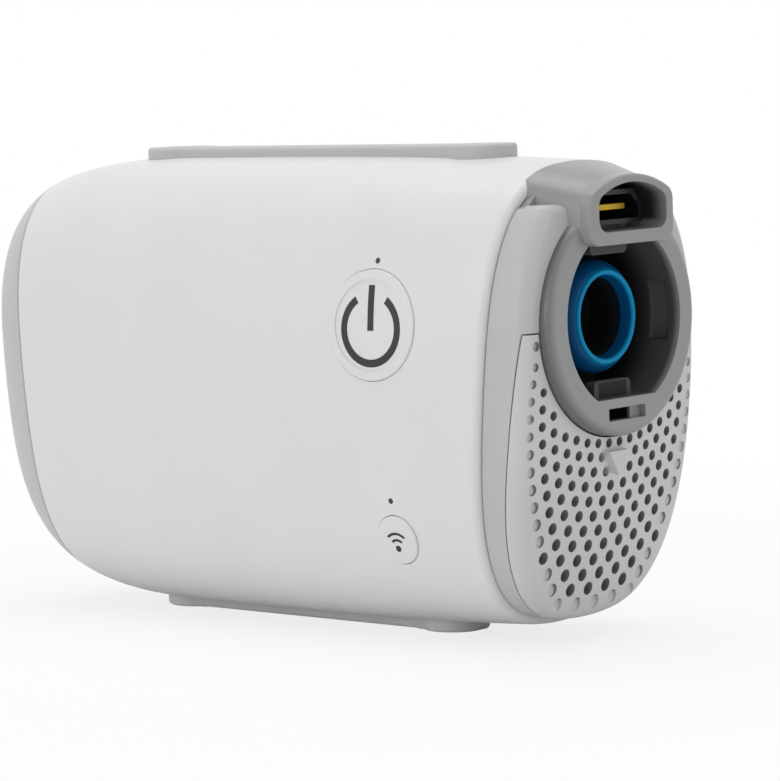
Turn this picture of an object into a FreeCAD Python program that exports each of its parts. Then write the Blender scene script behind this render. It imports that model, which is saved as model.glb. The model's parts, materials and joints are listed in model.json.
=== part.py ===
import FreeCAD, Part
import math
import os
import Sketcher
from FreeCAD import Placement, Rotation, Vector

# Travel CPAP machine.  Millimetres.  +X points to the outlet end, the buttons face -Y, +Z is up.
# The origin is the centre of the object's base, on the surface that its feet stand on.
# Heights named "rise" are measured up from the middle of the body.

SIZES = [
    ("half_depth", 25.9, "half the depth of the body at its widest station"),
    ("half_height", 40.3, "half the height of the body at its widest station"),
    ("foot_height", 1.7, "resting surface to the lowest line of the body"),
    ("left_reach", 67.15, "origin to the tip of the domed left end"),
    ("barrel_offset", 6.9, "how far the widest station lies left of the origin"),
    ("section_power", 2.88, "roundness power of the body's cross section"),
    ("dome_power", 4.66, "roundness power of the left end"),
    ("taper_share", 0.0413, "share of the section lost at the end of the right taper"),
    ("taper_run", 66.9, "length of the right taper"),
    ("end_tilt", 5.0, "lean of both end joints, in degrees"),
    ("cap_joint", 54.3, "origin to the joint of the left end cap"),
    ("seam", 54.1, "origin to the right edge of the shell"),
    ("joint_gap", 0.25, "visible gap in an outer joint"),
    ("fit_gap", 0.1, "clearance of a plugged or seated moulding"),
    ("shell_wall", 1.8, "wall of the mouldings"),
    ("seam_round", 1.4, "rounding of the shell's right edge"),
    ("joint_round", 0.4, "rounding of the edges of the left joint"),
    ("spigot_length", 4.0, "length of the plug inside the shell"),
    ("spigot_wall", 1.4, "wall of that plug"),
    ("nose_step", 1.2, "how far the end bezel lies inside the shell's surface"),
    ("nose_length", 9.4, "domed end face beyond the seam, at the middle"),
    ("face_radius", 210.0, "radius of the domed end face"),
    ("nose_round", 2.6, "rounding between the bezel's side and its end face"),
    ("hood_rise", 32.4, "rise of the hood's flat top beside the inlet shroud"),
    ("hood_round", 1.6, "rounding of the edges of that top"),
    ("cover_line", 6.0, "seam to the joint of the filter cover, at the middle"),
    ("cover_lean", 9.0, "lean of that joint, in degrees"),
    ("cover_rise", 12.0, "rise of the filter cover's upper edge"),
    ("hinge_radius", 0.85, "radius of the filter cover's hinge bead"),
    ("hinge_fit", 0.1, "clearance of that bead in the bezel's groove"),
    ("hinge_half_length", 5.0, "half the length of the bead"),
    ("hinge_relief", 0.75, "how far the bezel's lip is cut back under the hinge for the cover's swing"),
    ("cover_wall", 1.5, "thickness of the perforated face"),
    ("skirt_depth", 3.4, "filter cover's skirt behind its joint, at the middle"),
    ("skirt_gap", 0.3, "skirt to the bezel's wall"),
    ("skirt_wall", 1.2, "wall of that skirt"),
    ("seat_wall", 1.6, "thickness of the intake wall behind the filter"),
    ("filter_length", 3.0, "thickness of the air filter"),
    ("outlet_rise", 13.0, "rise of the outlet's axis"),
    ("collar_radius", 19.8, "outside of the outlet collar"),
    ("collar_front", 65.6, "front face of the collar"),
    ("collar_back", 58.0, "back face of the collar"),
    ("collar_round", 1.5, "rounding of the collar's outer edge"),
    ("recess_radius", 15.4, "hose recess inside the collar"),
    ("recess_flat", 13.3, "outlet axis to the flats of the recess"),
    ("recess_floor", 51.0, "floor of the hose recess"),
    ("floor_wall", 2.0, "thickness of that floor"),
    ("recess_wall", 1.8, "wall round the recess behind the collar"),
    ("latch_width", 10.0, "width of the two latch tabs"),
    ("latch_height", 2.8, "height of the latch tabs above their flats"),
    ("latch_length", 1.8, "thickness of the latch tabs along the axis"),
    ("latch_setback", 3.0, "collar front to the latch tabs"),
    ("slot_width", 10.0, "release slot below the recess"),
    ("slot_key", 2.8, "shallow right end of the release slot"),
    ("slot_height", 2.1, "height of the release slot"),
    ("slot_drop", 15.9, "outlet axis to the middle of the release slot"),
    ("slot_depth", 6.4, "depth of the release slot"),
    ("slot_key_depth", 1.2, "depth of its shallow end"),
    ("window_height", 10.0, "height of the side windows of the recess"),
    ("window_length", 4.2, "length of the side windows"),
    ("window_depth", 1.2, "depth of the side windows in the recess wall"),
    ("window_setback", 2.2, "collar front to the side windows"),
    ("inlet_half_width", 11.3, "half the width of the inlet shroud"),
    ("inlet_front", 68.0, "front face of the inlet shroud"),
    ("inlet_back", 52.0, "back face of the inlet shroud"),
    ("inlet_bottom", 25.3, "rise of the shroud's lower face"),
    ("inlet_shoulder", 33.6, "rise of the shroud's sides"),
    ("inlet_crown", 36.8, "rise of the shroud's arched top"),
    ("inlet_fall", 1.3, "fall of that top from the seam to the front face"),
    ("inlet_corner", 2.4, "rounding of the shroud's four long edges"),
    ("inlet_edge", 0.5, "rounding of the edges of its front face"),
    ("neck_inset", 0.4, "how far the shroud steps in where it enters the shell"),
    ("mouth_half_width", 9.2, "half the width of the inlet mouth"),
    ("mouth_bottom", 27.5, "rise of the mouth's lower face"),
    ("mouth_shoulder", 33.0, "rise of the mouth's sides"),
    ("mouth_crown", 35.5, "rise of the mouth's arched top"),
    ("mouth_depth", 8.0, "depth of the inlet mouth"),
    ("mouth_corner", 2.2, "rounding of the mouth's four long edges"),
    ("plug_half_width", 7.5, "half the width of the power socket"),
    ("plug_rise", 31.3, "rise of the socket's middle"),
    ("plug_half_height", 2.85, "half the height of the socket"),
    ("plug_key", 2.2, "chamfer of the socket's upper corners"),
    ("plug_face", 64.0, "front face of the socket"),
    ("plug_back", 53.5, "back face of the socket"),
    ("plug_rim", 0.8, "rim of the socket round its opening"),
    ("tongue_half_width", 4.2, "half the width of the contact blade"),
    ("tongue_thickness", 0.9, "thickness of the contact blade"),
    ("tube_radius", 6.4, "bore of the air path"),
    ("tube_wall", 1.0, "wall of the outlet tube"),
    ("tube_start", 42.0, "inner end of the outlet tube"),
    ("tube_end", 53.6, "outer end of the outlet tube"),
    ("seal_radius", 9.5, "outside of the blue seal"),
    ("seal_front", 62.0, "lip of the blue seal"),
    ("seal_lip_radius", 7.5, "radius of that lip"),
    ("seal_lip_wall", 0.5, "half the thickness of the lip"),
    ("seal_shoulder", 59.2, "where the seal starts to narrow to its lip"),
    ("seal_throat", 58.0, "inner end of the seal's funnel"),
    ("seal_bore", 6.2, "bore of the seal, which the hose connector's spigot enters"),
    ("button_x", 31.8, "power button's place along the body"),
    ("button_rise", 12.9, "power button's rise"),
    ("button_radius", 9.3, "power button's radius"),
    ("button_proud", 0.35, "buttons proud of the shell"),
    ("button_gap", 0.1, "sliding fit of a button in its opening"),
    ("dish_radius", 7.7, "radius of the power button's lowered face"),
    ("dish_depth", 0.2, "how far that face is lowered"),
    ("button_wall", 1.2, "wall of a button cap"),
    ("button_ear", 0.9, "reach and thickness of a cap's two retaining ears"),
    ("ear_half_height", 1.5, "half the height of those ears"),
    ("button_travel", 0.5, "travel of both buttons"),
    ("radio_x", 34.6, "wireless button's place along the body"),
    ("radio_rise", -23.2, "wireless button's rise"),
    ("radio_radius", 4.2, "wireless button's radius"),
    ("stem_radius", 1.4, "stem behind a button cap"),
    ("lamp_radius", 0.5, "radius of a lamp's light pipe"),
    ("power_lamp_x", 32.3, "power lamp's place along the body"),
    ("power_lamp_rise", 23.6, "power lamp's rise"),
    ("radio_lamp_x", 34.4, "wireless lamp's place along the body"),
    ("radio_lamp_rise", -16.5, "wireless lamp's rise"),
    ("board_front", -17.2, "front face of the main board"),
    ("board_thickness", 1.6, "thickness of the circuit boards"),
    ("board_left", 2.0, "left edge of the main board"),
    ("board_right", 45.0, "right edge of the main board"),
    ("board_half_height", 31.0, "half the height of the main board"),
    ("switch_side", 6.0, "side of a tactile switch"),
    ("switch_height", 1.7, "body height of a tactile switch"),
    ("plunger_height", 0.6, "height of a switch's plunger"),
    ("plunger_radius", 1.6, "radius of a switch's plunger"),
    ("stop_gap", 0.05, "stem to plunger when a button is fully pressed"),
    ("led_side", 1.2, "side of a status lamp"),
    ("chassis_front", 11.6, "front face of the chassis plate"),
    ("chassis_wall", 1.6, "thickness of the chassis plate"),
    ("chassis_left", -48.0, "left edge of the chassis plate"),
    ("chassis_right", 47.4, "right edge of the chassis plate"),
    ("chassis_half_height", 31.0, "half the height of the chassis plate"),
    ("post_radius", 2.6, "radius of the chassis posts"),
    ("boss_left", -43.0, "left screw bosses of the shell"),
    ("boss_right", 31.0, "right screw bosses of the shell"),
    ("boss_rise", 24.0, "middle of the body to the screw bosses"),
    ("screw_grip", 3.5, "how deep the small screws reach"),
    ("screw_radius", 0.9, "shank radius of the small screws"),
    ("screw_head", 1.8, "head radius of the small screws"),
    ("screw_head_height", 1.2, "head height of the small screws"),
    ("blower_x", -12.0, "blower axis along the body"),
    ("scroll_radius", 17.5, "smallest radius of the scroll chamber"),
    ("scroll_growth", 3.2, "growth of the scroll in each quarter turn"),
    ("scroll_half_width", 8.0, "half the width of the scroll chamber"),
    ("scroll_wall", 1.5, "wall of the scroll"),
    ("scroll_end", 10.0, "end of the scroll's straight outlet"),
    ("duct_spigot", 18.0, "end of the scroll's round spigot"),
    ("impeller_radius", 15.6, "tip radius of the impeller"),
    ("impeller_gap", 0.8, "impeller to the chamber's flat walls"),
    ("impeller_disc", 1.0, "thickness of the impeller's disc"),
    ("blade_thickness", 0.8, "thickness of a blade"),
    ("blade_count", 9, "number of blades"),
    ("hub_radius", 4.0, "radius of the impeller's hub"),
    ("inlet_eye", 8.0, "radius of the blower's eye"),
    ("shaft_radius", 1.0, "radius of the motor shaft"),
    ("running_gap", 0.03, "radial clearance of the shaft in its bearings"),
    ("bearing_radius", 3.0, "outside of a bearing"),
    ("bearing_width", 1.6, "width of a bearing"),
    ("magnet_radius", 4.2, "radius of the rotor magnet"),
    ("stator_gap", 0.4, "rotor to stator"),
    ("motor_radius", 10.6, "outside of the motor can"),
    ("motor_wall", 0.8, "wall of the motor can"),
    ("motor_back", 20.4, "back face of the motor can"),
    ("ear_height", 2.0, "thickness of the front housing's mounting ears"),
    ("mount_height", 1.0, "thickness of a rubber mount"),
    ("top_half_length", 35.6, "middle of the top strip to the centre of its pads"),
    ("top_middle", 0.6, "middle of the top strip along the body"),
    ("foot_half_length", 30.6, "middle of the bottom strip to the centre of its pads"),
    ("foot_middle", -3.8, "middle of the bottom strip along the body"),
    ("strip_half_width", 5.4, "half the width of a strip"),
    ("strip_thickness", 1.35, "thickness of a strip on the body"),
    ("pad_radius", 6.0, "radius of a pad at a strip's end"),
    ("row_drop", 7.77, "middle of the body to the first full row of perforations"),
    ("row_pitch", 2.485, "row to row"),
    ("row_radius", 43.4, "radius of the first full row's arc"),
    ("row_radius_growth", 2.7, "growth of that radius with each row"),
    ("hole_pitch", 2.87, "hole to hole in the first full row"),
    ("hole_pitch_growth", 0.19, "growth of that pitch with each row"),
    ("hole_radius", 0.82, "radius of the holes in the first full row"),
    ("hole_radius_growth", 0.03, "growth of the holes with each row"),
    ("hole_border", 4.5, "outline of the cover to the open holes"),
    ("dimple_border", 1.4, "outline of the cover to the blind dimples"),
    ("dimple_depth", 0.5, "depth of the blind dimples"),
    ("tab_width", 5.2, "width of the cover's pull tab"),
    ("tab_height", 3.9, "height of the pull tab"),
    ("tab_drop", 22.3, "outlet axis to the upper edge of the pull tab"),
    ("tab_proud", 1.2, "pull tab proud of the cover"),
    ("muffler_depth", 17.0, "depth of the intake foam"),
    ("muffler_right", 36.5, "right face of the intake foam"),
]


class Dim(float):
    """A number that also carries its spreadsheet expression, so that features can be bound to it."""

    def __new__(cls, value, text):
        made = float.__new__(cls, value)
        made.text = text
        return made

    def __add__(self, other):
        return joined(float(self) + float(other), self, "+", other)

    def __radd__(self, other):
        return joined(float(other) + float(self), other, "+", self)

    def __sub__(self, other):
        return joined(float(self) - float(other), self, "-", other)

    def __rsub__(self, other):
        return joined(float(other) - float(self), other, "-", self)

    def __mul__(self, other):
        return joined(float(self) * float(other), self, "*", other)

    def __rmul__(self, other):
        return joined(float(other) * float(self), other, "*", self)

    def __truediv__(self, other):
        return joined(float(self) / float(other), self, "/", other)

    def __neg__(self):
        return joined(-float(self), 0.0, "-", self)


def text_of(value):
    return value.text if isinstance(value, Dim) else "%.9g" % value


def joined(value, left, sign, right):
    return Dim(value, "(%s %s %s)" % (text_of(left), sign, text_of(right)))


def make_sheet(document):
    """Write the sizes into a spreadsheet and return them as a name-to-Dim table."""
    sheet = document.addObject("Spreadsheet::Sheet", "Sizes")
    table = {}
    for row, (alias, value, note) in enumerate(SIZES, start=1):
        sheet.set("A%d" % row, alias)
        sheet.set("B%d" % row, str(value))
        sheet.set("C%d" % row, note)
        sheet.setAlias("B%d" % row, alias)
        table[alias] = Dim(value, "Sizes." + alias)
    return table


doc = FreeCAD.newDocument("travel_cpap")
size = make_sheet(doc)
doc.recompute()
middle = size["half_height"] + size["foot_height"]
outlet_z = middle + size["outlet_rise"]
tilt = math.tan(math.radians(size["end_tilt"]))
nodes = []


def node(label, thing, place=None):
    """Name a finished sub-part, which becomes one file."""
    thing.Label = label
    if place is not None:
        thing.Placement = place
    nodes.append(thing)
    return thing


def shape_node(label, shape):
    """A sub-part whose form is worked out from the sizes by Part's own functions."""
    feature = doc.addObject("Part::Feature", label)
    feature.Shape = shape
    return node(label, feature, Placement())


def bind(thing, path, value):
    if isinstance(value, Dim):
        thing.setExpression(path, value.text)


# ---------------------------------------------------------------- Part primitives and booleans

def block(name, x_span, y_span, z_span):
    """A box between two values on each axis, bound to the sheet."""
    made = doc.addObject("Part::Box", name)
    spans = (x_span, y_span, z_span)
    for side, axis, (low, high) in zip(("Length", "Width", "Height"), "xyz", spans):
        length = high - low
        setattr(made, side, float(length))
        bind(made, side, length)
        bind(made, "Placement.Base." + axis, low)
    made.Placement = Placement(Vector(*[float(span[0]) for span in spans]), Rotation())
    return made


def rod(name, axis, centre, span, radius):
    """A cylinder along X, Y or Z.  centre holds the two other coordinates in order."""
    made = doc.addObject("Part::Cylinder", name)
    low, high = span
    turns = {"x": Rotation(Vector(0, 1, 0), 90), "y": Rotation(Vector(1, 0, 0), -90), "z": Rotation()}
    others = iter(centre)
    base = {letter: (low if letter == axis else next(others)) for letter in "xyz"}
    made.Radius = float(radius)
    made.Height = float(high - low)
    made.Placement = Placement(Vector(float(base["x"]), float(base["y"]), float(base["z"])), turns[axis])
    bind(made, "Radius", radius)
    bind(made, "Height", high - low)
    for letter in "xyz":
        bind(made, "Placement.Base." + letter, base[letter])
    return made


def fuse(name, *things):
    made = doc.addObject("Part::MultiFuse", name)
    made.Shapes = list(things)
    return made


def cut(name, base, *tools):
    made = doc.addObject("Part::Cut", name)
    made.Base = base
    made.Tool = tools[0] if len(tools) == 1 else fuse(name + "_tools", *tools)
    return made


def tube(name, axis, centre, span, outer, inner):
    return cut(name, rod(name + "_outer", axis, centre, span, outer),
               rod(name + "_inner", axis, centre, span, inner))


def group(label, things):
    """Identical loose pieces that share one node as separate solids."""
    made = doc.addObject("Part::Compound", label)
    made.Links = list(things)
    return node(label, made)


# ---------------------------------------------------------------- PartDesign bodies

ROLES = {"x": ("YZ_Plane", 1), "y": ("XZ_Plane", -1), "z": ("XY_Plane", 1)}


def new_body(label, place=None):
    body = doc.addObject("PartDesign::Body", label)
    if place is not None:
        body.Placement = Placement(Vector(*[float(value) for value in place]), Rotation())
        for letter, value in zip("xyz", place):
            bind(body, "Placement.Base." + letter, value)
    return body


def pin_point(sketch, index, end, u, v):
    """Hold one point of a sketch at (u, v) from the sketch's origin."""
    for kind, value in (("DistanceX", u), ("DistanceY", v)):
        row = sketch.addConstraint(Sketcher.Constraint(kind, -1, 1, index, end, float(value)))
        bind(sketch, "Constraints[%d]" % row, value)


def draw_circle(sketch, u, v, radius):
    index = sketch.addGeometry(Part.Circle(Vector(float(u), float(v), 0), Vector(0, 0, 1), float(radius)))
    pin_point(sketch, index, 3, u, v)
    row = sketch.addConstraint(Sketcher.Constraint("Radius", index, float(radius)))
    bind(sketch, "Constraints[%d]" % row, radius)


def arc_through(start, end, radius):
    """The shorter arc between two points; a positive radius bulges to the right of its way."""
    chord = end - start
    half = chord.Length / 2
    rise = math.sqrt(max(radius * radius - half * half, 0.0))
    across = Vector(chord.y, -chord.x, 0).normalize()
    side = 1 if radius > 0 else -1
    peak = (start + end) / 2 + across * side * (abs(radius) - rise)
    return Part.Arc(start, peak, end)


def draw_loop(sketch, points):
    """A closed outline.  A third value on a point makes the stretch that ends there an arc."""
    count = len(points)
    places = [Vector(float(point[0]), float(point[1]), 0) for point in points]
    indices = []
    reverse = []
    for number in range(count):
        start, end = places[number], places[(number + 1) % count]
        target = points[(number + 1) % count]
        if len(target) == 3:
            index = sketch.addGeometry(arc_through(start, end, float(target[2])))
            start_point = sketch.getPoint(index, 1)
            reverse.append((start_point - start).Length > (start_point - end).Length)
        else:
            index = sketch.addGeometry(Part.LineSegment(start, end))
            reverse.append(False)
        indices.append(index)
    for number in range(count):
        following = (number + 1) % count
        here = 1 if reverse[number] else 2
        there = 2 if reverse[following] else 1
        sketch.addConstraint(Sketcher.Constraint("Coincident", indices[number], here,
                                                 indices[following], there))
        pin_point(sketch, indices[number], here, points[following][0], points[following][1])
        if len(points[following]) == 3:
            radius = points[following][2]
            value = radius if float(radius) > 0 else -radius
            row = sketch.addConstraint(Sketcher.Constraint("Radius", indices[number], float(value)))
            bind(sketch, "Constraints[%d]" % row, value)


def sketch_on(body, name, role, offset, loops):
    made = body.newObject("Sketcher::SketchObject", name)
    plane = next(item for item in body.Origin.OriginFeatures if item.Role == role)
    made.AttachmentSupport = [(plane, "")]
    made.MapMode = "FlatFace"
    made.AttachmentOffset = Placement(Vector(0, 0, float(offset)), Rotation())
    bind(made, "AttachmentOffset.Base.z", offset)
    for loop in loops:
        if loop[0] == "circle":
            draw_circle(made, *loop[1:])
        else:
            draw_loop(made, loop)
    return made


def pad(body, name, axis, span, *loops):
    """Add the outlines between two values along an axis."""
    role, side = ROLES[axis]
    low, high = span
    offset = low if side > 0 else -high
    made = body.newObject("PartDesign::Pad", name)
    made.Profile = sketch_on(body, name + "_sketch", role, offset, loops)
    made.Length = float(high - low)
    bind(made, "Length", high - low)
    doc.recompute()
    return made


def pocket(body, name, axis, span, *loops):
    """Remove the outlines between two values along an axis, and make sure that material went."""
    role, side = ROLES[axis]
    low, high = span
    offset = high if side > 0 else -low
    before = body.Shape.Volume
    made = body.newObject("PartDesign::Pocket", name)
    made.Profile = sketch_on(body, name + "_sketch", role, offset, loops)
    made.Length = float(high - low)
    bind(made, "Length", high - low)
    doc.recompute()
    if body.Shape.Volume >= before:
        raise RuntimeError(name + " removes nothing")
    return made


def revolve(body, name, role, loop, axis_name):
    """Turn a closed outline about one of the sketch's own axes."""
    made = body.newObject("PartDesign::Revolution", name)
    sketch = sketch_on(body, name + "_sketch", role, 0.0, [loop])
    made.Profile = sketch
    made.ReferenceAxis = (sketch, [axis_name])
    made.Angle = 360.0
    doc.recompute()
    return made


# ---------------------------------------------------------------- the pillow form

SECTION_POINTS = 32


def closed_outline(station, half_y, half_z):
    """One tilted cross section: a rounded form between an ellipse and a rectangle."""
    lean = tilt * max(-1.0, min(1.0, station / size["seam"]))
    power = 2.0 / size["section_power"]
    points = []
    for number in range(SECTION_POINTS):
        angle = 2 * math.pi * (number + 0.5) / SECTION_POINTS
        across = math.copysign(abs(math.cos(angle)) ** power, math.cos(angle)) * half_y
        rise = math.copysign(abs(math.sin(angle)) ** power, math.sin(angle)) * half_z
        points.append(Vector(station + lean * rise, across, middle + rise))
    curve = Part.BSplineCurve()
    curve.interpolate(Points=points, PeriodicFlag=True)
    return Part.Wire([curve.toShape()])


def barrel_share(station, inset):
    """Share of the full section at a station: a dome to the left, a gentle taper to the right."""
    run = station + size["barrel_offset"]
    if run < 0:
        reach = size["left_reach"] - size["barrel_offset"] - inset
        return (1 - (-run / reach) ** size["dome_power"]) ** (1 / size["dome_power"])
    return 1 - size["taper_share"] * (run / size["taper_run"]) ** 2.5


def barrel(start, end, inset, steps=8):
    """The body's form between two stations, its surface moved in by inset."""
    wires = []
    for number in range(steps + 1):
        station = float(start) + (float(end) - float(start)) * number / steps
        share = barrel_share(station, inset)
        wires.append(closed_outline(station, (size["half_depth"] - inset) * share,
                                    (size["half_height"] - inset) * share))
    return Part.makeLoft(wires, True, False)


def dome(start, inset):
    """The domed left end from a station to its tip, with stations crowding towards the tip."""
    reach = size["left_reach"] - size["barrel_offset"] - inset
    first = (-start - size["barrel_offset"]) / reach
    low_share = (1 - first ** size["dome_power"]) ** (1 / size["dome_power"])
    wires = []
    for share in (1.0, 0.96, 0.91, 0.84, 0.75, 0.65, 0.54, 0.43, 0.3):
        full = share * low_share
        run = (1 - full ** size["dome_power"]) ** (1 / size["dome_power"]) * reach
        wires.append(closed_outline(-run - size["barrel_offset"], (size["half_depth"] - inset) * full,
                                    (size["half_height"] - inset) * full))
    return Part.makeLoft(wires, True, False)


def nose(start, end, inset):
    """The bezel's and filter cover's form: the seam's section, stepped in, with straight sides."""
    share = barrel_share(size["seam"], 0.0)
    half_y = size["half_depth"] * share - size["nose_step"] - inset
    half_z = size["half_height"] * share - size["nose_step"] - inset
    return Part.makeLoft([closed_outline(start, half_y, half_z), closed_outline(end, half_y, half_z)], True)


def end_edge(shape, right):
    """The outer edge of a form's left or right end face."""
    sign = 1 if right else -1
    return max(shape.Edges, key=lambda edge: (round(sign * edge.CenterOfMass.x, 3), edge.Length))


def beyond(station, lean="end_tilt"):
    """The space to the right of a leaning station plane."""
    space = bar((station, station + 2 * FAR), (-FAR, FAR), (middle - 2 * FAR, middle + 2 * FAR))
    space.rotate(Vector(station, 0, middle), Vector(0, 1, 0), size[lean])
    return space


def face_centre():
    """Centre of the sphere that the domed end face belongs to."""
    lean = math.radians(size["end_tilt"])
    apex = size["seam"] + size["nose_length"]
    return Vector(apex - size["face_radius"] * math.cos(lean), 0,
                  middle + size["face_radius"] * math.sin(lean))


def face_x(y, z):
    """The end face's place along X at a point seen from the end."""
    centre = face_centre()
    return centre.x + math.sqrt(size["face_radius"] ** 2 - y ** 2 - (z - centre.z) ** 2)


def rounded_nose(space, inset, face_inset=None):
    """The nose's form within a space, up to its domed end face, which it meets in a rounding."""
    face_inset = inset if face_inset is None else face_inset
    ball = Part.makeSphere(size["face_radius"] - face_inset, face_centre())
    ball.rotate(face_centre(), Vector(0, 0, 1), 180)
    length = size["nose_length"]
    form = nose(size["seam"] - length, size["seam"] + 2 * length, inset).common(ball)
    radius = size["nose_round"] - inset
    if radius > 0.2:
        form = form.makeFillet(radius, [end_edge(form, True)])
    return form.common(space)


def bar(x_span, y_span, z_span):
    return Part.makeBox(x_span[1] - x_span[0], y_span[1] - y_span[0], z_span[1] - z_span[0],
                        Vector(x_span[0], y_span[0], z_span[0]))


def outlet_cylinder(radius, x_span):
    return Part.makeCylinder(radius, x_span[1] - x_span[0], Vector(x_span[0], 0, outlet_z), Vector(1, 0, 0))


def facing_rod(x, z, radius, y_span):
    """A rod along Y, for what passes through the front of the shell."""
    return Part.makeCylinder(radius, y_span[1] - y_span[0], Vector(x, y_span[0], z), Vector(0, 1, 0))


FAR = 90.0


def button_z():
    return middle + size["button_rise"]


def radio_z():
    return middle + size["radio_rise"]


def boss_places():
    """Where the chassis is screwed to bosses on the back of the shell."""
    return [(x, middle + side * size["boss_rise"]) for x in (size["boss_left"], size["boss_right"])
            for side in (-1, 1)]


def lamp_places():
    return [(size["power_lamp_x"], middle + size["power_lamp_rise"]),
            (size["radio_lamp_x"], middle + size["radio_lamp_rise"])]


# ---------------------------------------------------------------- casing

def make_main_shell():
    left = -size["cap_joint"] + size["joint_gap"]
    outer = barrel(left, size["seam"], 0.0)
    outer = outer.makeFillet(size["seam_round"], [end_edge(outer, True)])
    outer = outer.makeFillet(size["joint_round"], [end_edge(outer, False)])
    seat = size["chassis_front"] + size["chassis_wall"]
    bosses = [facing_rod(x, z, size["post_radius"], (seat, FAR)) for x, z in boss_places()]
    shell = outer.cut(barrel(left - 1, size["seam"] + 1, size["shell_wall"]).cut(bosses))
    front = (-FAR, 0)
    openings = [facing_rod(size["button_x"], button_z(), size["button_radius"] + size["button_gap"], front),
                facing_rod(size["radio_x"], radio_z(), size["radio_radius"] + size["button_gap"], front)]
    for x, z in lamp_places():
        openings.append(facing_rod(x, z, size["lamp_radius"], front))
    for x, z in boss_places():
        openings.append(facing_rod(x, z, size["screw_radius"], (seat - 1, seat + size["screw_grip"])))
    shape_node("main_shell", shell.cut(openings))


def make_left_end_cap():
    joint = -size["cap_joint"]
    outer = dome(joint, 0.0)
    outer = outer.makeFillet(size["joint_round"], [end_edge(outer, True)])
    wall = size["shell_wall"]
    shell = outer.cut(dome(joint + 1, wall))
    plug_inset = wall + size["fit_gap"]
    inner_inset = plug_inset + size["spigot_wall"]
    root = barrel(joint - 3, joint - size["joint_round"], wall - 0.2)
    plug = barrel(joint - 3, joint + size["spigot_length"], plug_inset)
    hollow = barrel(joint - 4, joint + size["spigot_length"] + 1, inner_inset)
    cap = shell.fuse([root.cut(hollow), plug.cut(hollow)])
    shape_node("left_end_cap", cap.removeSplitter())


def housing_envelope(gap):
    """What the connector housing takes up, with a gap all round."""
    half = size["inlet_half_width"] + gap
    low = middle + size["inlet_bottom"] - gap
    shroud = bar((size["inlet_back"] - 10, FAR), (-half, half), (low, low + FAR))
    collar = outlet_cylinder(size["collar_radius"] + gap, (size["collar_back"] - gap, FAR))
    tail = outlet_cylinder(size["recess_radius"] + size["recess_wall"] + gap, (0, FAR))
    return [shroud, collar, tail]


def cover_region(gap):
    """Everything of the nose that belongs to the filter cover, its edges moved out by gap."""
    line = size["seam"] + size["cover_line"] - gap
    return beyond(line, "cover_lean").common(under(size["cover_rise"] + gap))


def hinge_axis():
    """The filter cover turns about a line in the bezel's lower wall, at the cover's joint."""
    share = barrel_share(size["seam"], 0.0)
    rise = -size["half_height"] * share + size["nose_step"] + size["shell_wall"] / 2
    lean = math.tan(math.radians(size["cover_lean"]))
    return size["seam"] + size["cover_line"] + lean * rise, middle + rise


def hinge_rod(radius, half_length):
    x, z = hinge_axis()
    return Part.makeCylinder(radius, 2 * half_length, Vector(x, -half_length, z), Vector(0, 1, 0))


def hinge_groove():
    """The bead's groove, open below where the cover's lower edge swings under it."""
    half_length = size["hinge_half_length"] * 1.5
    x, z = hinge_axis()
    relief = bar((x - size["hinge_relief"], x + 1), (-half_length, half_length), (0, z - size["shell_wall"] / 4))
    return [hinge_rod(size["hinge_radius"] + size["hinge_fit"], half_length), relief]


def under(rise):
    return bar((0, 2 * FAR), (-FAR, FAR), (-FAR, middle + rise))


def make_end_bezel():
    wall = size["shell_wall"]
    seam = size["seam"]
    step = size["nose_step"]
    outer = rounded_nose(beyond(seam + size["joint_gap"]), 0.0)
    low_zone = under(size["cover_rise"])
    ring = outer.common(low_zone).cut(cover_region(0.0)).cut(nose(seam - 1, seam + FAR, wall))
    ring = ring.cut(hinge_groove())
    hood = outer.common(under(size["hood_rise"]))
    roof = max(hood.Faces, key=lambda face: face.CenterOfMass.z)
    hood = hood.makeFillet(size["hood_round"], roof.Edges)
    hood = hood.cut(low_zone)
    hollow = rounded_nose(beyond(seam - size["joint_gap"]), wall)
    hood = hood.cut(hollow.common(under(size["hood_rise"] - wall)))
    plug_inset = wall - step + size["fit_gap"]
    plug = nose(seam - size["spigot_length"], seam + 1.5, plug_inset)
    plug = plug.cut(nose(seam - size["spigot_length"] - 1, seam + 3, plug_inset + size["spigot_wall"]))
    seat = nose(seam + 0.6, seam + 0.6 + size["seat_wall"], wall - 0.2)
    seat = seat.common(low_zone)
    shelf = rounded_nose(beyond(seam + size["joint_gap"]), wall - 0.2).common(
        bar((0, 2 * FAR), (-FAR, FAR), (middle + size["cover_rise"], middle + size["cover_rise"] + wall)))
    solid = ring.fuse([hood, plug, seat, shelf]).cut(housing_envelope(size["fit_gap"]))
    shape_node("end_bezel", solid.cut(intake_slots()))


def intake_slots():
    """Upright slots in the intake wall, behind the filter."""
    slots = []
    low = middle - size["half_height"] * 0.72
    high = outlet_z - size["collar_radius"] - 3.0
    for number in range(-3, 4):
        y = number * 4.6
        slots.append(bar((size["seam"] - 6, size["seam"] + 5), (y - 1.3, y + 1.3), (low, high)))
    return slots


def cover_field(border, y, rise):
    """Below one inside the cover's outline moved in by border, above one outside it."""
    share = barrel_share(size["seam"], 0.0)
    inset = size["nose_step"] + border
    half_y = size["half_depth"] * share - inset
    half_z = size["half_height"] * share - inset
    return abs(y / half_y) ** size["section_power"] + abs(rise / half_z) ** size["section_power"]


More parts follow.
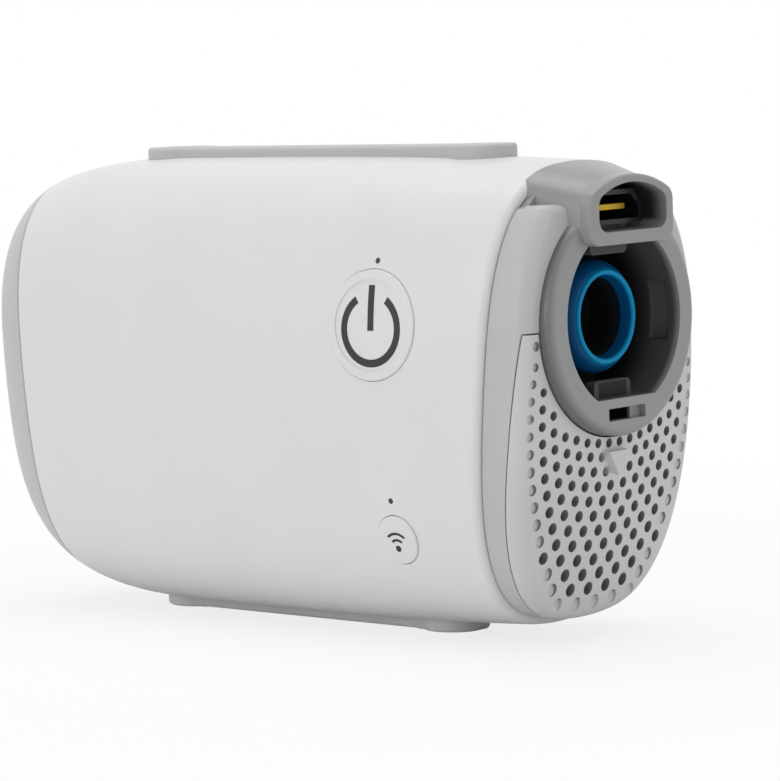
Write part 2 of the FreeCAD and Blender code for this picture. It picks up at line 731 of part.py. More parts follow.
def hole_places():
    """Staggered rows on arcs that flatten, spread and grow towards the bottom."""
    places = []
    for row in range(-5, 13):
        bow = size["row_radius"] + size["row_radius_growth"] * row
        pitch = size["hole_pitch"] + size["hole_pitch_growth"] * row
        lowest = -size["row_drop"] - size["row_pitch"] * row
        radius = size["hole_radius"] + size["hole_radius_growth"] * row
        for number in range(-12, 13):
            y = (number + 0.5 * ((row + 1) % 2)) * pitch
            if abs(y) > size["half_depth"]:
                continue
            rise = lowest + bow - math.sqrt(bow ** 2 - y ** 2)
            collar = math.hypot(y, rise - size["outlet_rise"]) - size["collar_radius"]
            if under_tab(y, rise):
                continue
            if collar > radius + 0.8 and rise < size["cover_rise"] - radius - 0.5:
                places.append((y, rise, radius))
    return places


def under_tab(y, rise):
    top = size["outlet_rise"] - size["tab_drop"]
    return abs(y) < 1.0 and top - size["tab_height"] < rise < top


def make_filter_cover():
    gap = size["joint_gap"]
    line = size["seam"] + size["cover_line"]
    below = under(size["cover_rise"] - gap)
    wall = size["shell_wall"] + size["skirt_gap"]
    back = line - size["skirt_depth"]
    plug = rounded_nose(beyond(back), wall, size["cover_wall"] * 0.5)
    hollow = rounded_nose(beyond(back - 1), wall + size["skirt_wall"], size["cover_wall"])
    cover = rounded_nose(beyond(line + gap, "cover_lean"), 0.0).fuse(plug).cut(hollow)
    cover = cover.common(below).cut(outlet_cylinder(size["collar_radius"] + gap, (0, FAR)))
    cover = cover.fuse([pull_tab(), hinge_rod(size["hinge_radius"], size["hinge_half_length"])])
    drills = []
    for y, rise, radius in hole_places():
        x = face_x(y, middle + rise)
        if cover_field(size["hole_border"], y, rise) < 1:
            depth = size["cover_wall"] + 0.4
        elif cover_field(size["dimple_border"], y, rise) < 1:
            depth = size["dimple_depth"]
        else:
            continue
        start = Vector(x - depth, y, middle + rise)
        drills.append(Part.makeCylinder(radius, depth + 3, start, Vector(1, 0, 0)))
    shape_node("filter_cover", cover.cut(Part.makeCompound(drills)))


def pull_tab():
    """A wedge that a fingertip pulls: a triangle pointing down."""
    top = outlet_z - size["tab_drop"]
    half = size["tab_width"] / 2
    tip = top - size["tab_height"]
    x = face_x(0.0, top)
    back = x - size["cover_wall"]
    corners = ((-half, top), (half, top), (0.3, tip), (-0.3, tip))
    points = [Vector(back, y, z) for y, z in corners]
    outline = Part.makePolygon(points + points[:1])
    return Part.Face(outline).extrude(Vector(size["cover_wall"] + size["tab_proud"], 0, 0))


def make_air_filter():
    inset = size["shell_wall"] + size["skirt_gap"] + size["skirt_wall"] + size["fit_gap"]
    end = size["seam"] + size["cover_line"] - 0.6
    pad_form = nose(end - size["filter_length"], end, inset)
    below = under(size["cover_rise"] - 1.5)
    ring = outlet_cylinder(size["collar_radius"] + 2 * size["joint_gap"], (0, FAR))
    face = Part.makeSphere(size["face_radius"] - size["cover_wall"] - size["joint_gap"], face_centre())
    shape_node("air_filter", pad_form.common(below).cut(ring).common(face))


def make_strip(label, upper, centre, reach):
    """A rubber strip that follows the barrel, with a round flat pad at each end."""
    half = size["strip_half_width"]
    low, high = (middle, middle + FAR) if upper else (-FAR, middle)
    limit = (middle, 2 * middle) if upper else (0.0, float(middle))
    band = bar((centre - reach, centre + reach), (-half, half), (low, high))
    skin = barrel(-size["cap_joint"], size["seam"], -size["strip_thickness"])
    body_form = barrel(-size["cap_joint"] - 1, size["seam"] + 1, 0.0)
    solid = band.common(skin)
    pads = [Part.makeCylinder(size["pad_radius"], limit[1] - limit[0],
                              Vector(centre + side * reach, 0, limit[0])) for side in (-1, 1)]
    shape_node(label, solid.fuse(pads).cut(body_form).removeSplitter())


def wall_y(x, rise, inset):
    """The front wall's place along Y, its surface moved in by inset."""
    share = barrel_share(x, 0.0)
    high = abs(rise) / ((size["half_height"] - inset) * share)
    width = (1 - high ** size["section_power"]) ** (1 / size["section_power"])
    return -(size["half_depth"] - inset) * share * width


def make_cap_button(label, x, z, radius, dished):
    """A button cap whose face follows the shell, hollow behind, with two retaining ears and a stem."""
    ear = size["button_ear"]
    wall = size["button_wall"]
    highest = abs(z - middle) + size["ear_half_height"]
    ear_front = wall_y(x + radius, highest, size["shell_wall"] * 1.1) + size["joint_gap"]
    back = ear_front + ear
    cap = facing_rod(x, z, radius, (-FAR, back)).common(barrel(0, size["seam"], -size["button_proud"]))
    rim = max(cap.Edges, key=lambda edge: (edge.Length > 5 * radius, -edge.CenterOfMass.y))
    cap = cap.makeFillet(size["button_proud"], [rim])
    if dished:
        skin = facing_rod(x, z, size["dish_radius"], (-FAR, 0))
        cap = cap.cut(skin.cut(barrel(0, size["seam"], size["dish_depth"] - size["button_proud"])))
    hollow = facing_rod(x, z, radius - wall, (-FAR, back + 1))
    cap = cap.cut(hollow.common(barrel(0, size["seam"], wall - size["button_proud"])))
    ears = bar((x - radius - ear, x + radius + ear), (ear_front, back),
               (z - size["ear_half_height"], z + size["ear_half_height"]))
    stem_end = size["board_front"] - size["switch_height"] - size["plunger_height"]
    stem_end = stem_end - size["button_travel"] - size["stop_gap"]
    stem = facing_rod(x, z, size["stem_radius"], (wall_y(x, z - middle, wall / 2), stem_end))
    shape_node(label, cap.fuse([ears.cut(hollow), stem]).removeSplitter())


def make_light_pipes():
    labels = ("power_light_pipe", "wireless_light_pipe")
    skin = barrel(0, size["seam"], 0.0)
    for label, (x, z) in zip(labels, lamp_places()):
        pipe = facing_rod(x, z, size["lamp_radius"], (-FAR, size["board_front"] - size["led_side"]))
        shape_node(label, pipe.common(skin))


# ---------------------------------------------------------------- connector end

def arched_wire(x, half, bottom, shoulder, crown):
    """An upright outline at a station: a flat bottom and sides under an arched top."""
    corners = [Vector(x, half, middle + shoulder), Vector(x, -half, middle + shoulder),
               Vector(x, -half, middle + bottom), Vector(x, half, middle + bottom)]
    arch = Part.Arc(corners[0], Vector(x, 0, middle + crown), corners[1]).toShape()
    sides = [Part.makeLine(start, end) for start, end in zip(corners[1:], corners[2:] + corners[:1])]
    return Part.Wire([arch] + sides)


def arched_bar(x_span, role, inset, fall, corner):
    """A bar of that outline, its sizes read by role; its top falls towards the front."""
    start, end = x_span
    half = size[role + "_half_width"] - inset
    bottom = size[role + "_bottom"] + inset
    shoulder = size[role + "_shoulder"] - inset
    crown = size[role + "_crown"] - inset
    form = Part.makeLoft([arched_wire(start, half, bottom, shoulder + fall, crown + fall),
                          arched_wire(end, half, bottom, shoulder, crown)], True, True)
    long_edges = [edge for edge in form.Edges if edge.BoundBox.XLength > (end - start) * 0.9]
    return form.makeFillet(corner, long_edges)


def front_edges(form, x):
    """The edges that lie in an upright plane at x."""
    return [edge for edge in form.Edges if abs(edge.BoundBox.XMin - x) + edge.BoundBox.XLength < 1e-4]


def make_shroud():
    """The inlet shroud beyond the seam, and the narrower neck by which it enters the shell."""
    front = size["inlet_front"]
    outside = arched_bar((size["inlet_back"], front), "inlet", 0.0, size["inlet_fall"], size["inlet_corner"])
    outside = outside.makeFillet(size["inlet_edge"], front_edges(outside, front))
    outside = outside.common(beyond(size["seam"] + size["joint_gap"]))
    neck = arched_bar((size["inlet_back"], size["collar_back"] + size["neck_inset"]), "inlet",
                      size["neck_inset"], 0.0, size["inlet_corner"] - size["neck_inset"])
    recess = outlet_cylinder(size["recess_radius"], (size["recess_floor"], size["collar_front"]))
    flats = bar((0, FAR), (-FAR, FAR), (outlet_z - size["recess_flat"], outlet_z + size["recess_flat"]))
    return outside.fuse(neck).cut(recess.common(flats))


def make_connector_housing():
    body = new_body("connector_base")
    tail_radius = size["recess_radius"] + size["recess_wall"]
    back = size["recess_floor"] - size["floor_wall"]
    axis = (0.0, outlet_z)
    pad(body, "tail", "x", (back, size["collar_back"] + 1), ("circle", *axis, tail_radius))
    pad(body, "collar", "x", (size["collar_back"], size["collar_front"]),
        ("circle", *axis, size["collar_radius"]))
    rim = body.newObject("PartDesign::Fillet", "collar_edge")
    collar = doc.getObject("collar").Shape
    front_edge = max(range(len(collar.Edges)), key=lambda n: (round(collar.Edges[n].CenterOfMass.x, 3),
                                                              collar.Edges[n].Length))
    rim.Base = (doc.getObject("collar"), ["Edge%d" % (front_edge + 1)])
    rim.Radius = float(size["collar_round"])
    bind(rim, "Radius", size["collar_round"])
    doc.recompute()
    chord = math.sqrt(size["recess_radius"] ** 2 - size["recess_flat"] ** 2)
    flat_low = outlet_z - size["recess_flat"]
    flat_high = outlet_z + size["recess_flat"]
    bow = size["recess_radius"]
    recess = [(-chord, flat_low, bow), (chord, flat_low), (bow, outlet_z, bow), (chord, flat_high, bow),
              (-chord, flat_high), (-bow, outlet_z, bow)]
    pocket(body, "recess", "x", (size["recess_floor"], size["collar_front"] + 1), recess)
    pocket(body, "tube_hole", "x", (back - 1, size["recess_floor"] + 1),
           ("circle", *axis, size["tube_radius"] + size["tube_wall"] + size["fit_gap"]))
    slot_z = outlet_z - size["slot_drop"]
    slot_low = slot_z - size["slot_height"] / 2
    slot_high = slot_z + size["slot_height"] / 2
    slot_end = size["slot_width"] / 2
    slot_step = slot_end - size["slot_key"]
    front = size["collar_front"]
    pocket(body, "slot", "x", (front - size["slot_depth"], front + 1),
           rectangle(-slot_end, slot_step, slot_low, slot_high))
    pocket(body, "slot_end", "x", (front - size["slot_key_depth"], front + 1),
           rectangle(slot_step - 0.5, slot_end, slot_low, slot_high))
    reach = size["recess_radius"] + size["window_depth"]
    window_high = front - size["window_setback"]
    pocket(body, "windows", "x", (window_high - size["window_length"], window_high),
           rectangle(-reach, reach, outlet_z - size["window_height"] / 2,
                     outlet_z + size["window_height"] / 2))
    latch_high = front - size["latch_setback"]
    half = size["latch_width"] / 2
    span = (latch_high - size["latch_length"], latch_high)
    pad(body, "lower_latch", "x", span,
        latch(half, flat_low - 0.5, flat_low + size["latch_height"]))
    pad(body, "upper_latch", "x", span,
        latch(half, flat_high + 0.5, flat_high - size["latch_height"]))
    shroud = doc.addObject("Part::Feature", "shroud")
    shroud.Shape = make_shroud()
    mouth_floor = size["inlet_front"] - size["mouth_depth"]
    mouth = doc.addObject("Part::Feature", "mouth")
    mouth.Shape = arched_bar((mouth_floor, size["inlet_front"] + 1), "mouth", 0.0, 0.0, size["mouth_corner"])
    socket_hole = doc.addObject("Part::Feature", "socket_hole")
    corners = [Vector(size["inlet_back"] - 1, y, z) for y, z in socket_outline(-size["fit_gap"])]
    outline = Part.Face(Part.makePolygon(corners + corners[:1]))
    socket_hole.Shape = outline.extrude(Vector(mouth_floor + 2 - size["inlet_back"], 0, 0))
    node("connector_housing", cut("housing_form", fuse("housing_solids", body, shroud), mouth, socket_hole))


def rectangle(u_low, u_high, v_low, v_high):
    return [(u_low, v_low), (u_high, v_low), (u_high, v_high), (u_low, v_high)]


def latch(half, root, tip):
    """A tab from its flat to its tip, with rounded outer corners."""
    side = 1.0 if float(tip) > float(root) else -1.0
    near = tip - side
    return [(-half, root), (half, root), (half, near), (half - 1.0, tip, side), (-half + 1.0, tip),
            (-half, near, side)]


def make_outlet_parts():
    radius = size["tube_radius"]
    outer = radius + size["tube_wall"]
    tube_body = new_body("outlet_tube", (0.0, 0.0, outlet_z))
    revolve(tube_body, "tube", "XZ_Plane",
            [(size["tube_start"], radius), (size["tube_end"], radius), (size["tube_end"], outer),
             (size["tube_start"], outer)], "H_Axis")
    node("outlet_tube", tube_body)
    seal = new_body("outlet_seal", (0.0, 0.0, outlet_z))
    lip = size["seal_lip_radius"]
    half = size["seal_lip_wall"]
    front = size["seal_front"]
    bend = size["seal_radius"] - lip
    revolve(seal, "ring", "XZ_Plane",
            [(size["recess_floor"], outer), (size["tube_end"], outer), (size["tube_end"], size["seal_bore"]),
             (size["seal_throat"], size["seal_bore"]), (front - half, lip - half), (front, lip, half),
             (front - half, lip + half, half), (size["seal_shoulder"], size["seal_radius"], bend * 1.6),
             (size["recess_floor"], size["seal_radius"])], "H_Axis")
    node("outlet_seal", seal)


def socket_outline(inset):
    """The socket's outline seen from the end, moved in by inset: chamfered upper corners."""
    half = size["plug_half_width"] - inset
    low = middle + size["plug_rise"] - size["plug_half_height"] + inset
    high = middle + size["plug_rise"] + size["plug_half_height"] - inset
    key = size["plug_key"]
    return [(-half, low), (half, low), (half, high - key), (half - key, high), (-half + key, high),
            (-half, high - key)]


def make_dc_socket():
    body = new_body("dc_socket")
    pad(body, "block", "x", (size["plug_back"], size["plug_face"]), socket_outline(0.0))
    pocket(body, "opening", "x", (size["plug_back"] + 2, size["plug_face"] + 1),
           socket_outline(size["plug_rim"]))
    node("dc_socket", body)
    half_blade = size["tongue_half_width"]
    z = middle + size["plug_rise"]
    blade = block("blade", (size["plug_back"] + 2, size["plug_face"] - 1),
                  (-half_blade, half_blade),
                  (z - size["tongue_thickness"] / 2, z + size["tongue_thickness"] / 2))
    pins = [rod("socket_pin_%d" % number, "x", (side * half_blade * 0.6, z),
                (size["inlet_back"], size["plug_back"]), 0.4)
            for number, side in enumerate((-1, 1))]
    group("socket_contacts", [blade] + pins)


# ---------------------------------------------------------------- blower

def blower_z():
    """The scroll's first quarter ends at the lower line of the outlet."""
    return outlet_z - size["tube_radius"] - size["scroll_radius"]


def scroll_outline(grow, end):
    """Four quarter arcs whose radii grow, then a straight outlet; grow moves the outline out."""
    x = size["blower_x"]
    z = blower_z()
    step = size["scroll_growth"]
    first = size["scroll_radius"] + grow
    radii = [first, first + step, first + 2 * step, first + 3 * step]
    centres = [(x, z), (x - step, z), (x - step, z + step), (x, z + step)]
    top_z = outlet_z + size["tube_radius"] + grow
    lower = outlet_z - size["tube_radius"] - grow
    tongue = x + math.sqrt(first ** 2 - (first - 2 * grow) ** 2)
    return [(tongue, lower, radii[0]), (end, lower), (end, top_z), (centres[3][0], top_z),
            (centres[3][0] - radii[3], centres[3][1], radii[3]),
            (centres[2][0], centres[2][1] - radii[2], radii[2]),
            (centres[1][0] + radii[1], centres[1][1], radii[1])]


def ear_places():
    """The blower's three mounting ears, on the outside of the scroll."""
    x = size["blower_x"]
    z = blower_z()
    step = size["scroll_growth"]
    reach = size["scroll_radius"] + size["scroll_wall"] + size["post_radius"] * 0.5
    spots = ((x - step, z, reach + step, -12), (x - step, z + step, reach + 2 * step, 225),
             (x, z + step, reach + 3 * step, 135))
    places = []
    for centre_x, centre_z, distance, degrees in spots:
        angle = math.radians(degrees)
        places.append((centre_x + distance * math.cos(angle), centre_z + distance * math.sin(angle)))
    return places


def make_blower_housings():
    half = size["scroll_half_width"]
    wall = size["scroll_wall"]
    eye = (size["blower_x"], blower_z())
    spigot = size["tube_radius"] + size["tube_wall"]
    for label, side in (("blower_front_housing", -1), ("blower_rear_housing", 1)):
        ear_seat = size["chassis_front"] - size["mount_height"]
        outer_span = (-half - wall, 0.0) if side < 0 else (0.0, half + wall)
        inner_span = (-half, 0.0) if side < 0 else (0.0, half)
        ear_span = (-size["ear_height"], 0.0) if side < 0 else (0.0, ear_seat)
        body = new_body(label)
        pad(body, label + "_form", "y", outer_span, scroll_outline(wall, size["scroll_end"]))
        for number, (x, z) in enumerate(ear_places()):
            pad(body, "%s_ear_%d" % (label, number), "y", ear_span, ("circle", x, z, size["post_radius"]))
        pad(body, label + "_spigot", "x", (size["scroll_end"] - wall, size["duct_spigot"]),
            [(0.0, outlet_z + side * spigot, spigot), (0.0, outlet_z - side * spigot),
             (side * spigot, outlet_z, spigot)])
        pocket(body, label + "_chamber", "y", inner_span, scroll_outline(0.0, size["scroll_end"] - wall))
        pocket(body, label + "_bore", "x", (size["scroll_end"] - wall - 1, size["duct_spigot"] + 1),
               ("circle", 0.0, outlet_z, size["tube_radius"]))
        if side < 0:
            pocket(body, label + "_eye", "y", (-half - wall - 1, -half + 1),
                   ("circle", *eye, size["inlet_eye"]))
        else:
            pocket(body, label + "_hub_hole", "y", (half - 1, half + wall + 1),
                   ("circle", *eye, size["shaft_radius"] + 1.0))
            for number, (x, z) in enumerate(ear_places()):
                pocket(body, "ear_pilot_%d" % number, "y", (ear_seat - size["screw_grip"], ear_seat + 1),
                       ("circle", x, z, size["screw_radius"]))
        node(label, body)


def make_pressure_duct():
    radius = size["tube_radius"]
    grip = radius + size["tube_wall"]
    outer = grip + 1.4
    body = new_body("pressure_duct", (0.0, 0.0, outlet_z))
    start = size["scroll_end"] + size["joint_gap"]
    end = size["recess_floor"] - size["floor_wall"] - 2.4
    revolve(body, "duct", "XZ_Plane",
            [(start, grip), (size["duct_spigot"], grip), (size["duct_spigot"], radius),
             (size["tube_start"], radius), (size["tube_start"], grip), (end, grip), (end, outer),
             (start, outer)], "H_Axis")
    node("pressure_duct", body)
    top = outlet_z + outer
    x = (size["duct_spigot"] + size["tube_start"]) / 2
    sensor = block("sensor_block", (x - 5.0, x + 5.0), (-4.0, 4.0), (top, top + 4.5))
    ports = [rod("sensor_port_%d" % n, "z", (x + 2.5 * side, 0.0), (top + 4.0, top + 7.0), 1.0)
             for n, side in enumerate((-1, 1))]
    node("flow_sensor", fuse("flow_sensor", sensor, *ports))


def make_impeller():
    body = new_body("impeller", (size["blower_x"], 0.0, blower_z()))
    tip = size["impeller_radius"]
    hub = size["hub_radius"]
    reach = size["scroll_half_width"] - size["impeller_gap"]
    disc = size["impeller_disc"]
    pad(body, "disc", "y", (reach - disc, reach), ("circle", 0.0, 0.0, tip))
    pad(body, "hub", "y", (-reach * 0.5, reach - disc + 0.2), ("circle", 0.0, 0.0, hub))
    sweep = math.radians(-48)
    half = size["blade_thickness"] / 2
    edge = tip - 0.3
    curve = tip * 0.95
    leading = hub - 0.6
    outer_end = (edge * math.cos(sweep) + half * math.sin(-sweep), edge * math.sin(sweep) + half)
    inner_end = (edge * math.cos(sweep) - half * math.sin(-sweep), edge * math.sin(sweep) - half)
    blade = pad(body, "blade", "y", (-reach, reach - disc + 0.2),
                [(leading, -half), inner_end + (-curve,), outer_end, (leading, half, curve)])
    ring = body.newObject("PartDesign::PolarPattern", "blades")
    ring.Originals = [blade]
    axis = next(item for item in body.Origin.OriginFeatures if item.Role == "Y_Axis")
    ring.Axis = (axis, [""])
    ring.Angle = 360.0
    ring.Occurrences = int(size["blade_count"])
    ring.setExpression("Occurrences", "Sizes.blade_count")
    body.Tip = ring
    doc.recompute()
    pocket(body, "shaft_bore", "y", (-reach - 1, reach + 1), ("circle", 0.0, 0.0, size["shaft_radius"]))
    node("impeller", body)


def make_motor():
    centre = (size["blower_x"], blower_z())
    back = size["motor_back"]
    wall = size["motor_wall"]
    start = size["scroll_half_width"] + size["scroll_wall"]
    width = size["bearing_width"]
    near = (start, start + width)
    far = (back - wall - width, back - wall)
    can = cut("can", rod("can_outside", "y", centre, (start, back), size["motor_radius"]),
              rod("can_inside", "y", centre, (near[1], far[0]), size["motor_radius"] - wall),
              rod("can_bore", "y", centre, (start - 1, far[1]), size["bearing_radius"]))
    node("motor_can", can)
    group("motor_bearings", [tube("bearing_%d" % number, "y", centre, span, size["bearing_radius"],
                                  size["shaft_radius"] + size["running_gap"])
                             for number, span in enumerate((near, far))])
    shaft_start = -(size["scroll_half_width"] - size["impeller_gap"]) * 0.5
    node("motor_shaft", rod("shaft", "y", centre, (shaft_start, far[1] - size["running_gap"] * 3),
                            size["shaft_radius"]))
    magnet = (near[1] + 0.4, far[0] - 0.4)
    node("motor_magnet", tube("magnet", "y", centre, magnet, size["magnet_radius"], size["shaft_radius"]))
    node("motor_stator", tube("stator", "y", centre, (near[1] + 0.2, far[0] - 0.2),
                              size["motor_radius"] - wall, size["magnet_radius"] + size["stator_gap"]))


def make_blower_mounts():
    """Rubber rings between the blower's ears and the chassis."""
    front = size["chassis_front"]
    rings = [tube("grommet_%d" % number, "y", place, (front - size["mount_height"], front),
                  size["post_radius"], size["screw_radius"] + size["fit_gap"])
             for number, place in enumerate(ear_places())]
    group("blower_mounts", rings)


# ---------------------------------------------------------------- frame and electronics

def board_posts():
    """Where the main board is screwed to the chassis posts."""
    inner = 4.0
    rise = size["board_half_height"] - inner
    return [(size["board_left"] + inner, middle - rise), (size["board_right"] - inner, middle - rise),
            (size["board_left"] + inner, middle + rise), (size["board_right"] - inner, middle + rise)]


def make_chassis():
    body = new_body("chassis")
    front = size["chassis_front"]
    back = front + size["chassis_wall"]
    rise = size["chassis_half_height"]
    pad(body, "plate", "y", (front, back),
        rectangle(size["chassis_left"], size["chassis_right"], middle - rise, middle + rise))
    for number, (x, z) in enumerate(board_posts()):
        pad(body, "post_%d" % number, "y", (size["board_front"] + size["board_thickness"], front + 0.5),
            ("circle", x, z, size["post_radius"]))
    wall_back = size["recess_floor"] - size["floor_wall"]
    pad(body, "bulkhead", "x", (wall_back - size["chassis_wall"], wall_back),
        rectangle(-14.0, back, middle - rise, middle + rise))
    pocket(body, "duct_hole", "x", (wall_back - size["chassis_wall"] - 1, wall_back + 1),
           ("circle", 0.0, outlet_z, size["tube_radius"] + size["tube_wall"] + 1.8))
    pocket(body, "motor_hole", "y", (front - 1, back + 1),
           ("circle", size["blower_x"], blower_z(), size["motor_radius"] + size["joint_gap"]))
    for number, (x, z) in enumerate(ear_places() + boss_places()):
        pocket(body, "screw_hole_%d" % number, "y", (front - 1, back + 1),
               ("circle", x, z, size["screw_radius"] + size["fit_gap"]))
    post_front = size["board_front"] + size["board_thickness"]
    for number, (x, z) in enumerate(board_posts()):
        pocket(body, "post_pilot_%d" % number, "y", (post_front - 1, post_front + size["screw_grip"]),
               ("circle", x, z, size["screw_radius"]))
    low = middle - rise + 4
    pocket(body, "air_window", "x", (wall_back - size["chassis_wall"] - 1, wall_back + 1),
           rectangle(-10.0, 8.0, low, low + 20.0))
    node("chassis", body)


def small_screw(name, axis, centre, head_at, length, into):
    """A pan-headed screw: its head starts at head_at and its shank goes to that side of it."""
    shank = (head_at, head_at + length) if into > 0 else (head_at - length, head_at)
    cap = (head_at - size["screw_head_height"], head_at) if into > 0 else \
        (head_at, head_at + size["screw_head_height"])
    return fuse(name, rod(name + "_head", axis, centre, cap, size["screw_head"]),
                rod(name + "_shank", axis, centre, shank, size["screw_radius"]))


def make_screws():
    back = size["chassis_front"] + size["chassis_wall"]
    group("blower_screws", [small_screw("blower_screw_%d" % number, "y", place, back,
                                        size["chassis_wall"] + size["mount_height"] + size["screw_grip"],
                                        -1)
                            for number, place in enumerate(ear_places())])
    group("chassis_screws", [small_screw("chassis_screw_%d" % number, "y", place, size["chassis_front"],
                                         size["chassis_wall"] + size["screw_grip"], 1)
                             for number, place in enumerate(boss_places())])
    group("board_screws", [small_screw("board_screw_%d" % number, "y", place, size["board_front"],
                                       size["board_thickness"] + size["screw_grip"], 1)
                           for number, place in enumerate(board_posts())])


def make_main_board():
    body = new_body("main_board")
    front = size["board_front"]
    rise = size["board_half_height"]
    pad(body, "board", "y", (front, front + size["board_thickness"]),
        rectangle(size["board_left"], size["board_right"], middle - rise, middle + rise))
    for number, (x, z) in enumerate(board_posts()):
        pocket(body, "board_hole_%d" % number, "y", (front - 1, front + size["board_thickness"] + 1),
               ("circle", x, z, size["screw_radius"]))
    node("main_board", body)
    side = size["switch_side"] / 2
    for label, x, z in (("power_switch", size["button_x"], button_z()),
                        ("wireless_switch", size["radio_x"], radio_z())):
        case = block(label + "_case", (x - side, x + side), (front - size["switch_height"], front),
                     (z - side, z + side))
        case_front = front - size["switch_height"]
        top = rod(label + "_top", "y", (x, z), (case_front - size["plunger_height"], case_front),
                  size["plunger_radius"])
        node(label, fuse(label, case, top))
    lamp = size["led_side"]
    group("status_leds", [block("led_%d" % number, (x - lamp / 2, x + lamp / 2), (front - lamp, front),
                                (z - lamp / 2, z + lamp / 2))
                          for number, (x, z) in enumerate(lamp_places())])
    back = front + size["board_thickness"]
    node("radio_module", block("radio", (size["radio_x"] - 6.0, size["radio_x"] + 5.0), (back, back + 2.4),
                               (radio_z() - 1.0, radio_z() + 13.0)))


def make_inlet_board():
    """A small board that carries the power socket."""
    x = size["inlet_back"]
    z = middle + size["plug_rise"]
    node("inlet_board", block("socket_board", (x - size["board_thickness"], x), (-9.0, 9.0),
                              (outlet_z + size["recess_radius"] + size["recess_wall"] + size["joint_gap"],
                               z + 4.0)))


def make_muffler():
    """Foam below the duct, in front of the intake wall."""
    x = size["scroll_end"] + 4.0
    front = size["chassis_front"]
    low = middle - size["boss_rise"] + size["post_radius"] + size["joint_gap"]
    node("intake_muffler", block("foam", (x, size["muffler_right"]), (front - size["muffler_depth"], front),
                                 (low, outlet_z - size["tube_radius"] - 6.0)))


# ---------------------------------------------------------------- build and write

def check_document():
    doc.recompute()
    for thing in doc.Objects:
        if "Invalid" in thing.State or "Error" in thing.State:
            raise RuntimeError("%s did not build: %s" % (thing.Label, thing.State))
    for thing in nodes:
        if thing.Shape.isNull() or not thing.Shape.isValid():
            raise RuntimeError("%s has no valid shape" % thing.Label)


def write_parts():
    os.makedirs("parts", exist_ok=True)
    for thing in nodes:
        thing.Shape.exportStep("parts/%s.step" % thing.Label)
        print("%-24s solids %2d  volume %9.1f" % (thing.Label, len(thing.Shape.Solids), thing.Shape.Volume))


make_main_shell()
make_left_end_cap()
make_end_bezel()
make_filter_cover()
make_air_filter()
make_strip("top_strip", True, size["top_middle"], size["top_half_length"])
make_strip("bottom_strip", False, size["foot_middle"], size["foot_half_length"])
make_cap_button("power_button", size["button_x"], button_z(), size["button_radius"], True)
make_cap_button("wireless_button", size["radio_x"], radio_z(), size["radio_radius"], False)
make_light_pipes()
make_connector_housing()
make_outlet_parts()
make_dc_socket()
make_blower_housings()
make_pressure_duct()
make_impeller()
make_motor()
make_blower_mounts()
make_chassis()
make_screws()
make_main_board()
make_inlet_board()
make_muffler()
check_document()
write_parts()
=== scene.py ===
import json
import math
import bmesh
import bpy
from mathutils import Matrix, Vector
from mathutils.bvhtree import BVHTree


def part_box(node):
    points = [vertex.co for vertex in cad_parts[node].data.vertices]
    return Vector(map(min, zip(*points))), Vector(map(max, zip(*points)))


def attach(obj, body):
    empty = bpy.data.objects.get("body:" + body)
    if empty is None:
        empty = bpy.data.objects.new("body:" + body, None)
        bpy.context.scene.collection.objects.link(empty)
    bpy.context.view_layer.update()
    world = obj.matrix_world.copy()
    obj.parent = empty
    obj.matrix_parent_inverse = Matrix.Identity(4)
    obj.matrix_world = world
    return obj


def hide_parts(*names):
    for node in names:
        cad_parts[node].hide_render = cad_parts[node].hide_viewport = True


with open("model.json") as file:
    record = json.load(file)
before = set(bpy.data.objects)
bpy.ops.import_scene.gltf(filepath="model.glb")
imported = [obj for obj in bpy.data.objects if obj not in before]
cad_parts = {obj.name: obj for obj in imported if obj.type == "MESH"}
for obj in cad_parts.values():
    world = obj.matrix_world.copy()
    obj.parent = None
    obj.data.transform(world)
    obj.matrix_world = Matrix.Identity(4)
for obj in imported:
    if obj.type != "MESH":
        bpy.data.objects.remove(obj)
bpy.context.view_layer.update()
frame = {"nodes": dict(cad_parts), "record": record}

# Travel CPAP machine: finishes, printed marks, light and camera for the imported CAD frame.
# Metres.  +X is the outlet end, the buttons face -Y, +Z is up.

MM = 0.001

# Heights of the outlet's axis and of the body's middle, and how far out the rays at the object start.
OUTLET_Z = 55.0 * MM
MIDDLE_Z = 42.0 * MM
OUTSIDE = 0.2

surfaces = {}


def evaluated():
    return bpy.context.evaluated_depsgraph_get()


def struck(node, origin, heading):
    """Where a ray first meets the faces of a CAD node."""
    if node not in surfaces:
        surfaces[node] = BVHTree.FromObject(frame["nodes"][node], evaluated())
    return surfaces[node].ray_cast(Vector(origin), Vector(heading))[0]


def placed(name, data):
    """A new object in the scene, from a mesh, lamp or camera."""
    made = bpy.data.objects.new(name, data)
    bpy.context.scene.collection.objects.link(made)
    return made


def smooth(mesh, sharp_from):
    """Shade a mesh smoothly, apart from edges sharper than an angle in degrees."""
    mesh.shade_smooth()
    mesh.set_sharp_from_angle(angle=math.radians(sharp_from))


# ---------------------------------------------------------------- materials

